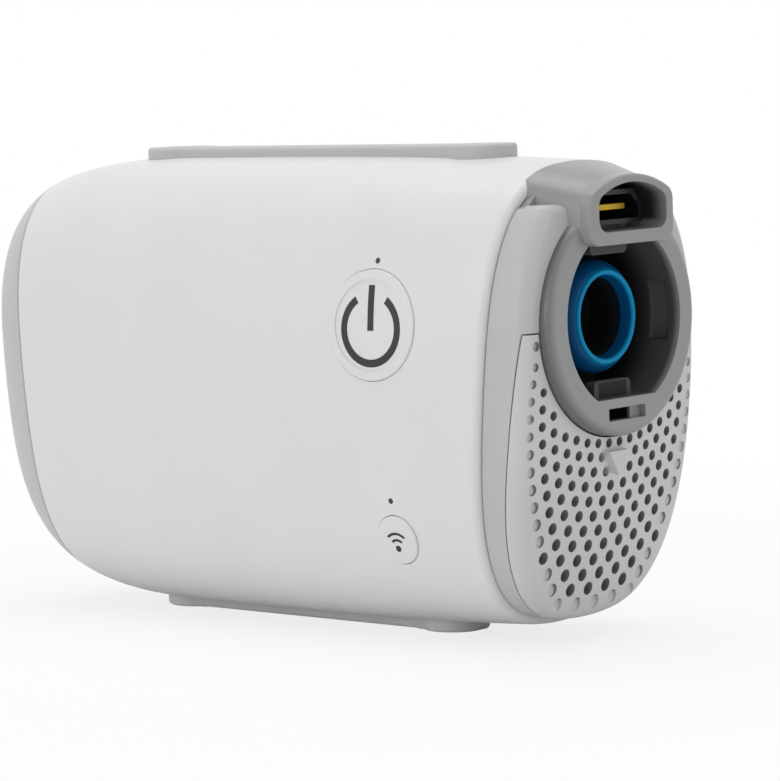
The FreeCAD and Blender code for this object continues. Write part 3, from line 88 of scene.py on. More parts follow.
# One finish for each material slot: colour, roughness, and how strong its grain, mottle and wear are.
FINISHES = {
    "shell_plastic": dict(colour=(0.74, 0.745, 0.75), roughness=0.38, grain=0.03, mottle=0.015, wear=0.04),
    "cap_plastic": dict(colour=(0.52, 0.524, 0.528), roughness=0.36, grain=0.03, mottle=0.02, wear=0.05),
    # The bezel and the cover are painted darker than the shell's plastic, as painted shade on the outlet end.
    "bezel_plastic": dict(colour=(0.50, 0.504, 0.508), roughness=0.38, grain=0.03, mottle=0.02, wear=0.05),
    "cover_plastic": dict(colour=(0.60, 0.604, 0.608), roughness=0.42, grain=0.05, mottle=0.025, wear=0.06),
    "collar_plastic": dict(colour=(0.30, 0.302, 0.305), roughness=0.3, grain=0.03, mottle=0.008, wear=0.0,
                           uneven=0.03),
    "button_plastic": dict(colour=(0.74, 0.745, 0.75), roughness=0.34, grain=0.02, mottle=0.015, wear=0.04),
    "lamp_lens": dict(colour=(0.015, 0.015, 0.017), roughness=0.12, grain=0.0, mottle=0.02, wear=0.0,
                      coat=0.6),
    "seal_rubber": dict(colour=(0.0, 0.072, 0.21), roughness=0.4, grain=0.04, mottle=0.05, wear=0.0,
                        gleam=0.15),
    "strip_rubber": dict(colour=(0.49, 0.493, 0.496), roughness=0.62, grain=0.08, mottle=0.03, wear=0.05,
                         sheen=0.2),
    # The strip's own rubber painted lighter for the bottom strip: painted light in the shade under the body.
    "strip_rubber_painted_light": dict(colour=(0.70, 0.704, 0.708), roughness=0.62, grain=0.08, mottle=0.03, wear=0.05,
                        sheen=0.2),
    "black_plastic": dict(colour=(0.010, 0.010, 0.011), roughness=0.25, grain=0.02, mottle=0.03, wear=0.05),
    "gold_contact": dict(colour=(0.56, 0.36, 0.035), roughness=0.28, grain=0.02, mottle=0.05, wear=0.0,
                         metal=1.0),
    "duct_rubber": dict(colour=(0.10, 0.10, 0.105), roughness=0.5, grain=0.05, mottle=0.04, wear=0.04,
                        sheen=0.2),
    "tube_plastic": dict(colour=(0.025, 0.025, 0.027), roughness=0.4, grain=0.04, mottle=0.03, wear=0.04),
    "blower_plastic": dict(colour=(0.035, 0.035, 0.038), roughness=0.45, grain=0.06, mottle=0.04, wear=0.05),
    "impeller_plastic": dict(colour=(0.62, 0.63, 0.64), roughness=0.4, grain=0.03, mottle=0.03, wear=0.03),
    "steel": dict(colour=(0.50, 0.50, 0.51), roughness=0.3, grain=0.06, mottle=0.05, wear=0.08, metal=1.0),
    "magnet_metal": dict(colour=(0.08, 0.08, 0.085), roughness=0.5, grain=0.08, mottle=0.06, wear=0.05,
                         metal=0.8),
    "winding": dict(colour=(0.42, 0.16, 0.05), roughness=0.35, grain=0.15, mottle=0.10, wear=0.0, metal=0.8),
    "mount_rubber": dict(colour=(0.02, 0.02, 0.02), roughness=0.7, grain=0.08, mottle=0.04, wear=0.03,
                         sheen=0.2),
    "chassis_plastic": dict(colour=(0.09, 0.092, 0.095), roughness=0.5, grain=0.05, mottle=0.04, wear=0.05),
    "board_green": dict(colour=(0.008, 0.09, 0.035), roughness=0.3, grain=0.04, mottle=0.10, wear=0.0,
                        coat=0.3),
    # The filter foam's near black is painted shade for the perforations in front of it.
    "filter_foam": dict(colour=(0.022, 0.022, 0.023), roughness=0.95, grain=0.5, mottle=0.10, wear=0.0,
                        sheen=0.1),
    "muffler_foam": dict(colour=(0.045, 0.045, 0.048), roughness=0.95, grain=0.8, mottle=0.15, wear=0.0,
                         sheen=0.2),
    "ink": dict(colour=(0.016, 0.016, 0.017), roughness=0.45, grain=0.02, mottle=0.04, wear=0.0),
}

PLASTIC_IOR = 1.46
COAT_ROUGHNESS = 0.08
GRAIN_DEPTH = 0.1 * MM

# Noise of each kind: cells per metre, and detail.  Its values stay near a half, in this range.
NOISE_RANGE = (0.3, 0.7)
CLOUD_NOISE = (55.0, 4.0)
GLOSS_NOISE = (240.0, 5.0)
WEAR_NOISE = (900.0, 3.0)
GRAIN_NOISE = (3800.0, 2.0)

# An edge counts as rubbed between these two values of its pointiness, and is then paler.
RUBBED_FROM = 0.52
RUBBED_AT = 0.62
RUBBED_GAIN = 1.25
RUBBED_LIFT = 0.06


def link(tree, output, target):
    tree.links.new(output, target)


def math_node(tree, kind, first, second=0.0):
    made = tree.nodes.new("ShaderNodeMath")
    made.operation = kind
    for socket, value in zip(made.inputs, (first, second)):
        if isinstance(value, (int, float)):
            socket.default_value = value
        else:
            link(tree, value, socket)
    return made.outputs[0]


def product(tree, *factors):
    result = factors[0]
    for factor in factors[1:]:
        result = math_node(tree, "MULTIPLY", result, factor)
    return result


def largest(tree, *values):
    result = values[0]
    for value in values[1:]:
        result = math_node(tree, "MAXIMUM", result, value)
    return result


def object_place(tree):
    return tree.nodes.new("ShaderNodeTexCoord").outputs["Object"]


def noise(tree, scale, detail):
    made = tree.nodes.new("ShaderNodeTexNoise")
    made.inputs["Scale"].default_value = scale
    made.inputs["Detail"].default_value = detail
    link(tree, object_place(tree), made.inputs["Vector"])
    return made.outputs["Fac"]


def mapped(tree, value, source, target, smoothed=False):
    """Map a value from one range onto another."""
    made = tree.nodes.new("ShaderNodeMapRange")
    if smoothed:
        made.interpolation_type = "SMOOTHSTEP"
    made.inputs["From Min"].default_value, made.inputs["From Max"].default_value = source
    made.inputs["To Min"].default_value, made.inputs["To Max"].default_value = target
    link(tree, value, made.inputs["Value"])
    return made.outputs["Result"]


def spread(tree, value, low, high):
    """Map a noise value onto a range."""
    return mapped(tree, value, NOISE_RANGE, (low, high))


def colour_mix(tree, factor, below, above):
    """A colour laid over another, which is a colour or the output of a node."""
    mix = tree.nodes.new("ShaderNodeMix")
    mix.data_type = "RGBA"
    link(tree, factor, mix.inputs["Factor"])
    if isinstance(below, tuple):
        mix.inputs["A"].default_value = (*below, 1.0)
    else:
        link(tree, below, mix.inputs["A"])
    mix.inputs["B"].default_value = (*above, 1.0)
    return mix.outputs["Result"]


def finish(name, colour, roughness, grain, mottle, wear,
           metal=0.0, coat=0.0, sheen=0.0, gleam=0.5, uneven=0.14):
    """Moulded or plain surface: uneven tone, uneven gloss, fine grain, and edges rubbed paler."""
    made = bpy.data.materials.new(name)
    made.use_nodes = True
    tree = made.node_tree
    shader = tree.nodes["Principled BSDF"]
    shader.inputs["Metallic"].default_value = metal
    shader.inputs["IOR"].default_value = PLASTIC_IOR
    shader.inputs["Specular IOR Level"].default_value = gleam
    shader.inputs["Coat Weight"].default_value = coat
    shader.inputs["Coat Roughness"].default_value = COAT_ROUGHNESS
    shader.inputs["Sheen Weight"].default_value = sheen
    cloud = spread(tree, noise(tree, *CLOUD_NOISE), 1.0 - mottle, 1.0 + mottle)
    pointiness = tree.nodes.new("ShaderNodeNewGeometry").outputs["Pointiness"]
    edge = mapped(tree, pointiness, (RUBBED_FROM, RUBBED_AT), (0.0, wear))
    rubbed = math_node(tree, "MULTIPLY", edge, noise(tree, *WEAR_NOISE))
    paler = [min(1.0, part * RUBBED_GAIN + RUBBED_LIFT) for part in colour]
    shade = tree.nodes.new("ShaderNodeVectorMath")
    shade.operation = "SCALE"
    link(tree, colour_mix(tree, rubbed, colour, paler), shade.inputs[0])
    link(tree, cloud, shade.inputs["Scale"])
    link(tree, shade.outputs["Vector"], shader.inputs["Base Color"])
    gloss = spread(tree, noise(tree, *GLOSS_NOISE), roughness * (1.0 - uneven),
                   min(1.0, roughness * (1.0 + uneven)))
    link(tree, gloss, shader.inputs["Roughness"])
    bump = tree.nodes.new("ShaderNodeBump")
    bump.inputs["Strength"].default_value = grain
    bump.inputs["Distance"].default_value = GRAIN_DEPTH
    link(tree, noise(tree, *GRAIN_NOISE), bump.inputs["Height"])
    link(tree, bump.outputs["Normal"], shader.inputs["Normal"])
    return made


materials = {slot: finish(slot, **values) for slot, values in FINISHES.items()}
for part in frame["record"]["subparts"]:
    coated = frame["nodes"][part["node"]]
    coated.data.materials.clear()
    coated.data.materials.append(materials[part["material_slot"]])

# ---------------------------------------------------------------- painted shade and highlights, and colours that change with place

# The centre of the circle that the roof of the inlet's shroud follows, seen from the outlet end.
ARCH_CENTRE_Z = 58.03 * MM

# Painted shade and highlights over each finish, and the spigot's own colour, in millimetres.  A step names a
# coordinate or distance of places(), then says where the shade is nil and where it is full.  A shade with a
# gleam has its own, lower specular level: painted shade on its reflections.
RECESS = (("reach", 17.5, 17.3), ("z", 68.4, 68.2), ("z", 41.6, 41.7))
SHADES = {
    "collar_plastic": (
        # The rim of the collar: painted shade where it meets the cover.
        dict(colour=(0.11, 0.111, 0.113), steps=(("reach", 18.2, 20.4), ("z", 71.0, 69.0))),
        # Painted shade in the recess round the outlet, with dulled reflections, and deeper painted shade in
        # its depth.
        dict(colour=(0.085, 0.085, 0.088), gleam=0.12, steps=(*RECESS, ("x", 65.55, 64.0))),
        dict(colour=(0.012, 0.012, 0.013), steps=(*RECESS, ("x", 62.0, 54.0))),
        # Painted shade on its side windows, lighter than in the recess, and on its lower latch tab.
        dict(colour=(0.14, 0.14, 0.143), steps=(*RECESS, ("reach", 15.7, 15.9), ("x", 64.6, 64.2))),
        dict(colour=(0.022, 0.022, 0.023),
             steps=(*RECESS, ("z", 44.4, 44.2), ("aside", 3.9, 3.7), ("x", 62.8, 62.7))),
        # Painted shade in the release slot.
        dict(colour=(0.012, 0.012, 0.013),
             steps=(("reach", 17.5, 17.3), ("z", 41.6, 41.5), ("x", 64.3, 63.6))),
        # Painted shade on the inside of the inlet's shroud, with dulled reflections.
        dict(colour=(0.035, 0.035, 0.036), gleam=0.2,
             steps=(("arched", 20.2, 20.0), ("aside", 10.2, 9.9), ("z", 70.2, 71.2), ("x", 67.9, 64.5))),
    ),
    "bezel_plastic": (
        # The spigot beside the root of the inlet's shroud, in the shroud's colour.
        dict(colour=(0.30, 0.302, 0.305),
             steps=(("x", 58.8, 58.65), ("z", 73.4, 73.6), ("aside", 17.2, 17.0))),
    ),
    "seal_rubber": (
        # The lip of the seal, lighter as a painted highlight, and painted shade in the bore behind its
        # funnel.
        dict(colour=(0.0, 0.26, 0.52), steps=(("x", 61.2, 61.8),)),
        dict(colour=(0.008, 0.009, 0.010), steps=(("reach", 7.4, 7.2), ("x", 59.9, 59.5))),
    ),
}

# The perforated field of the cover, a rounded outline: its half width, the height where it starts to narrow,
# how far it reaches down from there, the power of its curve, and the share of it where the shade is full.
FIELD_HALF = 21.0 * MM
FIELD_Z = 30.0 * MM
FIELD_DROP = 22.5 * MM
FIELD_POWER = 3.0
FIELD_FULL = 0.96

# The pull tab in the middle of the field keeps the cover's colour, free of the painted shade.
TAB_TOP = 32.75 * MM
TAB_LOW = 28.75 * MM
TAB_HALF = 2.65 * MM
TAB_SIDE_MARGIN = 0.1 * MM
TAB_END_MARGIN = 0.2 * MM

# The walls of the perforations, which get painted shade, are known by how little they face along X: from
# where, and where fully.
WALL_FACING = (0.6, 0.35)
HOLE_PAINTED_SHADE = (0.27, 0.272, 0.274)
HOLE_GLEAM = 0.3


def ramp(tree, value, start, end):
    """A smooth step from 0 at start to 1 at end."""
    if start < end:
        return mapped(tree, value, (start, end), (0.0, 1.0), smoothed=True)
    return mapped(tree, value, (end, start), (1.0, 0.0), smoothed=True)


def distance(tree, y, z, centre_z):
    """How far a place is from a line along X at a height."""
    rise = math_node(tree, "SUBTRACT", z, centre_z)
    squares = [math_node(tree, "MULTIPLY", side, side) for side in (y, rise)]
    return math_node(tree, "POWER", math_node(tree, "ADD", *squares), 0.5)


def places(tree):
    """X and Z of a surface point, and how far it is from the middle plane, the outlet and the arch."""
    split = tree.nodes.new("ShaderNodeSeparateXYZ")
    link(tree, object_place(tree), split.inputs[0])
    y, z = split.outputs["Y"], split.outputs["Z"]
    return {"x": split.outputs["X"], "z": z, "aside": math_node(tree, "ABSOLUTE", y),
            "reach": distance(tree, y, z, OUTLET_Z), "arched": distance(tree, y, z, ARCH_CENTRE_Z)}


def overlay(material, factor, colour, gleam=None):
    """Lay a second colour over a finish, as strongly as a factor worked out from the place."""
    tree = material.node_tree
    shader = tree.nodes["Principled BSDF"]
    socket = shader.inputs["Base Color"]
    link(tree, colour_mix(tree, factor, socket.links[0].from_socket, colour), socket)
    if gleam is None:
        return
    level = shader.inputs["Specular IOR Level"]
    dull = tree.nodes.new("ShaderNodeMix")
    link(tree, factor, dull.inputs["Factor"])
    if level.links:
        link(tree, level.links[0].from_socket, dull.inputs["A"])
    else:
        dull.inputs["A"].default_value = level.default_value
    dull.inputs["B"].default_value = gleam
    link(tree, dull.outputs["Result"], level)


def shade_places(material, shades):
    """Lay shades over a finish, mostly painted shade and painted highlights, each where all of its steps are
    full.
    """
    tree = material.node_tree
    spot = places(tree)
    for shade in shades:
        factors = [ramp(tree, spot[name], start * MM, end * MM) for name, start, end in shade["steps"]]
        overlay(material, product(tree, *factors), shade["colour"], shade.get("gleam"))


def paint_shade_in_holes(material):
    """Painted shade, with dulled reflections, on the walls of the perforations, which run along X, so they
    are darker than the cover's face.
    """
    tree = material.node_tree
    spot = places(tree)
    facing = tree.nodes.new("ShaderNodeSeparateXYZ")
    link(tree, tree.nodes.new("ShaderNodeTexCoord").outputs["Normal"], facing.inputs[0])
    wall = ramp(tree, math_node(tree, "ABSOLUTE", facing.outputs["X"]), *WALL_FACING)
    drop = largest(tree, math_node(tree, "SUBTRACT", FIELD_Z, spot["z"]), 0.0)
    shares = [math_node(tree, "POWER", math_node(tree, "DIVIDE", value, size), FIELD_POWER)
              for value, size in ((spot["aside"], FIELD_HALF), (drop, FIELD_DROP))]
    field = ramp(tree, math_node(tree, "ADD", *shares), 1.0, FIELD_FULL)
    off_tab = largest(tree, ramp(tree, spot["aside"], TAB_HALF, TAB_HALF + TAB_SIDE_MARGIN),
                      ramp(tree, spot["z"], TAB_TOP, TAB_TOP + TAB_END_MARGIN),
                      ramp(tree, spot["z"], TAB_LOW, TAB_LOW - TAB_END_MARGIN))
    overlay(material, product(tree, wall, field, off_tab), HOLE_PAINTED_SHADE, HOLE_GLEAM)


for slot, shades in SHADES.items():
    shade_places(materials[slot], shades)
paint_shade_in_holes(materials["cover_plastic"])

# ---------------------------------------------------------------- printed marks

INK_LIFT = 0.02 * MM
INK_THICKNESS = 0.03 * MM

# The power symbol: how far its centre is below the button's, its ring with a gap to each side of straight up
# in degrees, and the two ends of its bar above the centre.
POWER_DROP = 0.6 * MM
POWER_RING = 5.75 * MM
POWER_STROKE = 1.3 * MM
POWER_GAP = 33.0
POWER_BAR = (-0.3 * MM, 7.3 * MM)

# The wireless mark: how far its source is below the button's centre, its dot, and its arcs to each side of
# straight up in degrees.
WAVE_DROP = 1.5 * MM
WAVE_DOT = 0.3 * MM
WAVE_DOT_STROKE = 0.5 * MM
WAVE_ARCS = (1.5 * MM, 2.6 * MM)
WAVE_STROKE = 0.42 * MM
WAVE_SPREAD = 42.0


def printed(name, button, rows):
    """A thin printed patch on the front of a button, which it moves with: rows of (x, z) places."""
    vertices = [(x, struck(button, (x, -OUTSIDE, z), (0, 1, 0)).y - INK_LIFT, z)
                for row in rows for x, z in row]
    width = len(rows[0])
    faces = []
    for index in range(len(rows) - 1):
        for column in range(width - 1):
            first = index * width + column
            faces.append((first, first + 1, first + width + 1, first + width))
    mesh = bpy.data.meshes.new(name)
    mesh.from_pydata(vertices, [], faces)
    mesh.materials.append(materials["ink"])
    piece = placed(name, mesh)
    thickness = piece.modifiers.new("thickness", "SOLIDIFY")
    thickness.thickness = INK_THICKNESS
    thickness.offset = 0.0
    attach(piece, button)


def arc_rows(centre, radius, stroke, start, end, steps=72, across=4):
    """Rows of places across a stroke that follows an arc.  Angles in degrees from straight up."""
    rows = []
    for number in range(steps + 1):
        angle = math.radians(start + (end - start) * number / steps)
        row = []
        for column in range(across + 1):
            reach = radius + stroke * (column / across - 0.5)
            row.append((centre[0] + reach * math.sin(angle), centre[1] + reach * math.cos(angle)))
        rows.append(row)
    return rows


def bar_rows(centre, low, high, stroke, steps=16, across=4):
    """Rows of places across an upright stroke."""
    rows = []
    for number in range(steps + 1):
        z = low + (high - low) * number / steps
        rows.append([(centre + stroke * (column / across - 0.5), z) for column in range(across + 1)])
    return rows


def middle_of(node):
    """X and Z of the middle of a node."""
    low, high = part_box(node)
    return (low.x + high.x) / 2, (low.z + high.z) / 2


button_x, button_z = middle_of("power_button")
symbol = (button_x, button_z - POWER_DROP)
printed("power_ring", "power_button",
        arc_rows(symbol, POWER_RING, POWER_STROKE, POWER_GAP, 360.0 - POWER_GAP))
printed("power_bar", "power_button",
        bar_rows(symbol[0], symbol[1] + POWER_BAR[0], symbol[1] + POWER_BAR[1], POWER_STROKE))

wave_x, wave_z = middle_of("wireless_button")
source = (wave_x, wave_z - WAVE_DROP)
printed("wireless_dot", "wireless_button",
        arc_rows(source, WAVE_DOT, WAVE_DOT_STROKE, 0.0, 360.0, steps=24, across=2))
for number, reach in enumerate(WAVE_ARCS):
    printed("wireless_arc_%d" % number, "wireless_button",
            arc_rows(source, reach, WAVE_STROKE, -WAVE_SPREAD, WAVE_SPREAD, steps=20))

# ---------------------------------------------------------------- holes round the collar

# The first row of perforations runs on below the collar, on an arc of the cover's pattern, and one more
# shallow dimple stands at the top of each edge column.
ROW_Z = MIDDLE_Z - 7.95 * MM
ROW_BOW = 43.4 * MM
ROW_PITCH = 2.87 * MM
ROW_HOLE = 0.8 * MM
ROW_DEPTH = 2.0 * MM
ROW_HALF_COUNT = 3
EDGE_HOLE_Y = 20.6 * MM
EDGE_HOLE_Z = 51.8 * MM
EDGE_DEPTH = 0.6 * MM
DRILL_SIDES = 24
DRILL_PROUD = 3.0 * MM
WELD = 0.001 * MM
COVER_SHARP = 30.0


def drill(shape, x, y, z, depth):
    """Add a rod along X to a bmesh, from behind the cover's face to well in front of it."""
    reach = depth + DRILL_PROUD
    centre = Matrix.Translation((x - depth + reach / 2, y, z)) @ Matrix.Rotation(math.radians(90.0), 4, "Y")
    bmesh.ops.create_cone(shape, cap_ends=True, segments=DRILL_SIDES, radius1=ROW_HOLE, radius2=ROW_HOLE,
                          depth=reach, matrix=centre)


def drills():
    """The rods that cut the added holes."""
    holes = [(-EDGE_HOLE_Y, EDGE_HOLE_Z, EDGE_DEPTH), (EDGE_HOLE_Y, EDGE_HOLE_Z, EDGE_DEPTH)]
    for number in range(-ROW_HALF_COUNT, ROW_HALF_COUNT):
        y = (number + 0.5) * ROW_PITCH
        holes.append((y, ROW_Z + ROW_BOW - math.sqrt(ROW_BOW ** 2 - y ** 2), ROW_DEPTH))
    shape = bmesh.new()
    for y, z, depth in holes:
        drill(shape, struck("filter_cover", (OUTSIDE, y, z), (-1, 0, 0)).x, y, z, depth)
    mesh = bpy.data.meshes.new("drills")
    shape.to_mesh(mesh)
    shape.free()
    return placed("drills", mesh)


def drilled_cover():
    """The filter cover with the row's middle holes and the topmost dimple at each edge."""
    tool = drills()
    welded = bmesh.new()
    welded.from_mesh(frame["nodes"]["filter_cover"].data)
    bmesh.ops.remove_doubles(welded, verts=welded.verts, dist=WELD)
    mesh = bpy.data.meshes.new("pierced_cover")
    welded.to_mesh(mesh)
    welded.free()
    piece = placed("pierced_cover", mesh)
    cut = piece.modifiers.new("cut", "BOOLEAN")
    cut.operation = "DIFFERENCE"
    cut.solver = "EXACT"
    cut.object = tool
    cut_mesh = bpy.data.meshes.new_from_object(piece.evaluated_get(evaluated()))
    piece.modifiers.clear()
    piece.data = cut_mesh
    bpy.data.objects.remove(tool)
    # The CAD's own normals no longer fit the faces beside the new holes.
    cut_mesh.attributes.remove(cut_mesh.attributes["custom_normal"])
    smooth(cut_mesh, COVER_SHARP)
    cut_mesh.materials.clear()
    cut_mesh.materials.append(materials["cover_plastic"])
    return piece


pierced_cover = drilled_cover()
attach(pierced_cover, "filter_cover")
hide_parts("filter_cover")

# ---------------------------------------------------------------- soft edges of the rubber strips

PAD_RADIUS = 6.0 * MM
MIDDLE_HALF = 4.7 * MM
TIP_HALF = 0.08 * MM
STRIP_EDGE = 0.7 * MM
STRIP_EDGE_SHARE = 0.9
STRIP_SHARP = 40.0
STRIP_ARC = 6
PAD_STEPS = 12
MIDDLE_STEPS = 14

# From a pad's centre, the face leaves the pad's level here and reaches the middle's level there.
PAD_LEVEL_TO = PAD_RADIUS - 1.2 * MM
MIDDLE_LEVEL_FROM = PAD_RADIUS - 0.4 * MM

# Each strip: X of its pads' centres, then Z of the pads' faces, of the middle's face and of its root.
STRIPS = {
    "top_strip": ((-35.0 * MM, 36.2 * MM), 84.0 * MM, 83.93 * MM, 81.2 * MM),
    "bottom_strip": ((-34.4 * MM, 26.8 * MM), 0.0, 0.12 * MM, 2.9 * MM),
}


def smooth_share(value, start, end):
    """A smooth step from 0 at start to 1 at end."""
    share = min(1.0, max(0.0, (value - start) / (end - start)))
    return share * share * (3.0 - 2.0 * share)


def strip_section(x, pads, pad_face, middle_face, root):
    """Places (x, y, z) across a strip, from its root on one side over its face to its other root."""
    out = 1.0 if pad_face > root else -1.0
    offset = min(abs(x - pads[0]), abs(x - pads[1]))
    between = pads[0] < x < pads[1]
    half = math.sqrt(max(PAD_RADIUS ** 2 - offset ** 2, 0.0))
    half = max(half, MIDDLE_HALF if between else TIP_HALF)
    face = pad_face
    if between:
        face += (middle_face - pad_face) * smooth_share(offset, PAD_LEVEL_TO, MIDDLE_LEVEL_FROM)
    else:
        inset = min(max(STRIP_EDGE - (PAD_RADIUS - offset), 0.0), STRIP_EDGE)
        face -= out * (STRIP_EDGE - math.sqrt(STRIP_EDGE ** 2 - inset ** 2))
    edge = min(STRIP_EDGE, half * STRIP_EDGE_SHARE)
    side = [(-half, root)]
    for number in range(STRIP_ARC + 1):
        angle = math.radians(90.0 * number / STRIP_ARC)
        side.append((-half + edge * (1.0 - math.cos(angle)), face - out * edge * (1.0 - math.sin(angle))))
    return [(x, y, z) for y, z in side + [(-y, z) for y, z in reversed(side)]]


def strip_stations(pads):
    """X of each section: close together round the pads, and evenly along the middle."""
    swing = [math.radians(90.0 * number / PAD_STEPS) for number in range(PAD_STEPS + 1)]
    offsets = [-PAD_RADIUS * math.cos(angle) for angle in swing]
    offsets += [PAD_RADIUS * math.sin(angle) for angle in swing[1:]]
    start = pads[0] + PAD_RADIUS
    length = pads[1] - pads[0] - 2 * PAD_RADIUS
    middle = [start + length * number / MIDDLE_STEPS for number in range(1, MIDDLE_STEPS)]
    return [pads[0] + offset for offset in offsets] + middle + [pads[1] + offset for offset in offsets]


def soft_strip(node, material):
    """A rubber strip with two round pads and rounded edges, in place of the CAD's sharp-edged one."""
    pads, *levels = STRIPS[node]
    sections = [strip_section(x, pads, *levels) for x in strip_stations(pads)]
    width = len(sections[0])
    faces = [tuple(range(width))]
    for index in range(len(sections) - 1):
        here = index * width
        for column in range(width):
            after = (column + 1) % width
            faces.append((here + column, here + width + column, here + width + after, here + after))
    faces.append(tuple(reversed(range((len(sections) - 1) * width, len(sections) * width))))
    mesh = bpy.data.meshes.new("soft_" + node)
    mesh.from_pydata([place for section in sections for place in section], [], faces)
    shape = bmesh.new()
    shape.from_mesh(mesh)
    bmesh.ops.recalc_face_normals(shape, faces=shape.faces)
    shape.to_mesh(mesh)
    shape.free()
    smooth(mesh, STRIP_SHARP)
    mesh.materials.append(material)
    piece = placed("soft_" + node, mesh)
    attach(piece, "casing")
    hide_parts(node)


soft_strip("top_strip", materials["strip_rubber"])
# The bottom strip wears the strip rubber painted lighter: painted light in the shade under the body.
soft_strip("bottom_strip", materials["strip_rubber_painted_light"])

# ---------------------------------------------------------------- root of the inlet shroud

# The grey shroud leaves the shell flush with its surface and narrows to the shroud's front.
SEAM_X = 54.1 * MM
SEAM_LEAN = math.tan(math.radians(5.0))
ROOT_OVERLAP = 0.9 * MM
ROOT_SINK = 0.15 * MM
ROOT_LOW = 70.2 * MM
ROOT_HALF = 14.6 * MM
ROOT_CORNER = 1.8 * MM
ROOT_SHARP = 35.0
ROOT_STEPS = 14
ROOT_ACROSS = 28
ROOT_CORNER_STEPS = 6

# The outline at the shroud's front end, and the hidden inside of the band.
FRONT_X = 65.8 * MM
FRONT_HALF = 11.25 * MM
FRONT_CORNER = 2.3 * MM
FRONT_SHOULDER = 75.65 * MM
FRONT_CROWN = 78.93 * MM
INNER_HALF = 10.9 * MM
INNER_CORNER = 1.5 * MM
INNER_SHOULDER = 74.8 * MM
INNER_CROWN = 78.1 * MM


def arch(half, shoulder, crown):
    """Height of a circular arch over a place across it."""
    rise = crown - shoulder
    radius = (half ** 2 + rise ** 2) / (2 * rise)
    return lambda y: crown - radius + math.sqrt(radius ** 2 - y ** 2)


def shell_top(y):
    """Height of the shell's outside just left of its rounded edge."""
    return struck("main_shell", (SEAM_X, y, OUTSIDE), (0, 0, -1)).z - ROOT_SINK


def blend(first, second, share):
    return first + (second - first) * share


def arched_section(half, corner, height):
    """Places (y, z) along an arched outline, from its lower left end to its lower right end."""
    inner = half - corner
    top = [(inner * step, height(inner * step)) for step in
           [2.0 * number / ROOT_ACROSS - 1.0 for number in range(ROOT_ACROSS + 1)]]
    slope = (top[1][1] - top[0][1]) / (top[1][0] - top[0][0])
    elbow = top[0][1] - slope * corner
    left = [(-half, ROOT_LOW)]
    for number in range(ROOT_CORNER_STEPS):
        share = number / ROOT_CORNER_STEPS
        y = blend(-half, blend(-half, -inner, share), share)
        z = blend(blend(elbow - corner, elbow, share), blend(elbow, top[0][1], share), share)
        left.append((y, z))
    return left + top + [(-y, z) for y, z in reversed(left)]


def root_station(share, outlines):
    """Outer and inner rows of vertices at a share of the way from the seam to the front."""
    rows = []
    for start, end in outlines:
        row = []
        for first, second in zip(start, end):
            y = blend(first[0], second[0], share)
            z = blend(first[1], second[1], share)
            back = SEAM_X + SEAM_LEAN * (z - MIDDLE_Z) - ROOT_OVERLAP
            row.append((blend(back, FRONT_X, share), y, z))
        rows.append(row)
    return rows


def skinned(name, stations):
    """A closed band from stations of an outer and an inner row of vertices."""
    width = len(stations[0][0])
    vertices = [place for outer, inner in stations for place in outer + inner]
    faces = []
    for index in range(len(stations) - 1):
        here = index * 2 * width
        there = here + 2 * width
        for column in range(width - 1):
            after = column + 1
            faces.append((here + column, here + after, there + after, there + column))
            faces.append((here + width + after, here + width + column, there + width + column,
                          there + width + after))
        faces.append((here, there, there + width, here + width))
        faces.append((here + width - 1, here + 2 * width - 1, there + 2 * width - 1, there + width - 1))
    for base, turned in ((0, False), ((len(stations) - 1) * 2 * width, True)):
        for column in range(width - 1):
            face = (base + column, base + width + column, base + width + column + 1, base + column + 1)
            faces.append(face[::-1] if turned else face)
    mesh = bpy.data.meshes.new(name)
    mesh.from_pydata(vertices, [], faces)
    smooth(mesh, ROOT_SHARP)
    return placed(name, mesh)


root_outline = arched_section(ROOT_HALF, ROOT_CORNER, shell_top)
front_outline = arched_section(FRONT_HALF, FRONT_CORNER, arch(FRONT_HALF, FRONT_SHOULDER, FRONT_CROWN))
inner_outline = arched_section(INNER_HALF, INNER_CORNER, arch(INNER_HALF, INNER_SHOULDER, INNER_CROWN))
outlines = ((root_outline, front_outline), (inner_outline, inner_outline))
inlet_root = skinned("inlet_root", [root_station(number / ROOT_STEPS, outlines)
                                    for number in range(ROOT_STEPS + 1)])
inlet_root.data.materials.append(materials["collar_plastic"])
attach(inlet_root, "casing")

# ---------------------------------------------------------------- floor, light and camera

WHITE = (1.0, 1.0, 1.0, 1.0)
PAPER_COLOUR = (0.9, 0.9, 0.9, 1.0)
PAPER_ROUGHNESS = 0.8
FLOOR_SIZE = 6.0

# The camera sees this share of plain white on the paper near the object, and only white beyond the second
# radius, in metres.
NEAR_WHITE = 0.78
WHITE_FROM = 0.08
WHITE_AT = 0.26

CENTRE = (0.0, 0.0, MIDDLE_Z)
SKY_LIGHT = 0.51

# Soft boxes: place in metres, width and height in metres, power in watts.
SOFT_BOXES = {
    "front_box": ((-0.3, -1.3, 0.2), 1.0, 0.9, 5.1),
    "overhead_box": ((-0.1, 0.1, 1.4), 1.2, 1.2, 9.4),
    "right_box": ((1.3, 0.2, 0.6), 0.6, 0.8, 1.5),
}


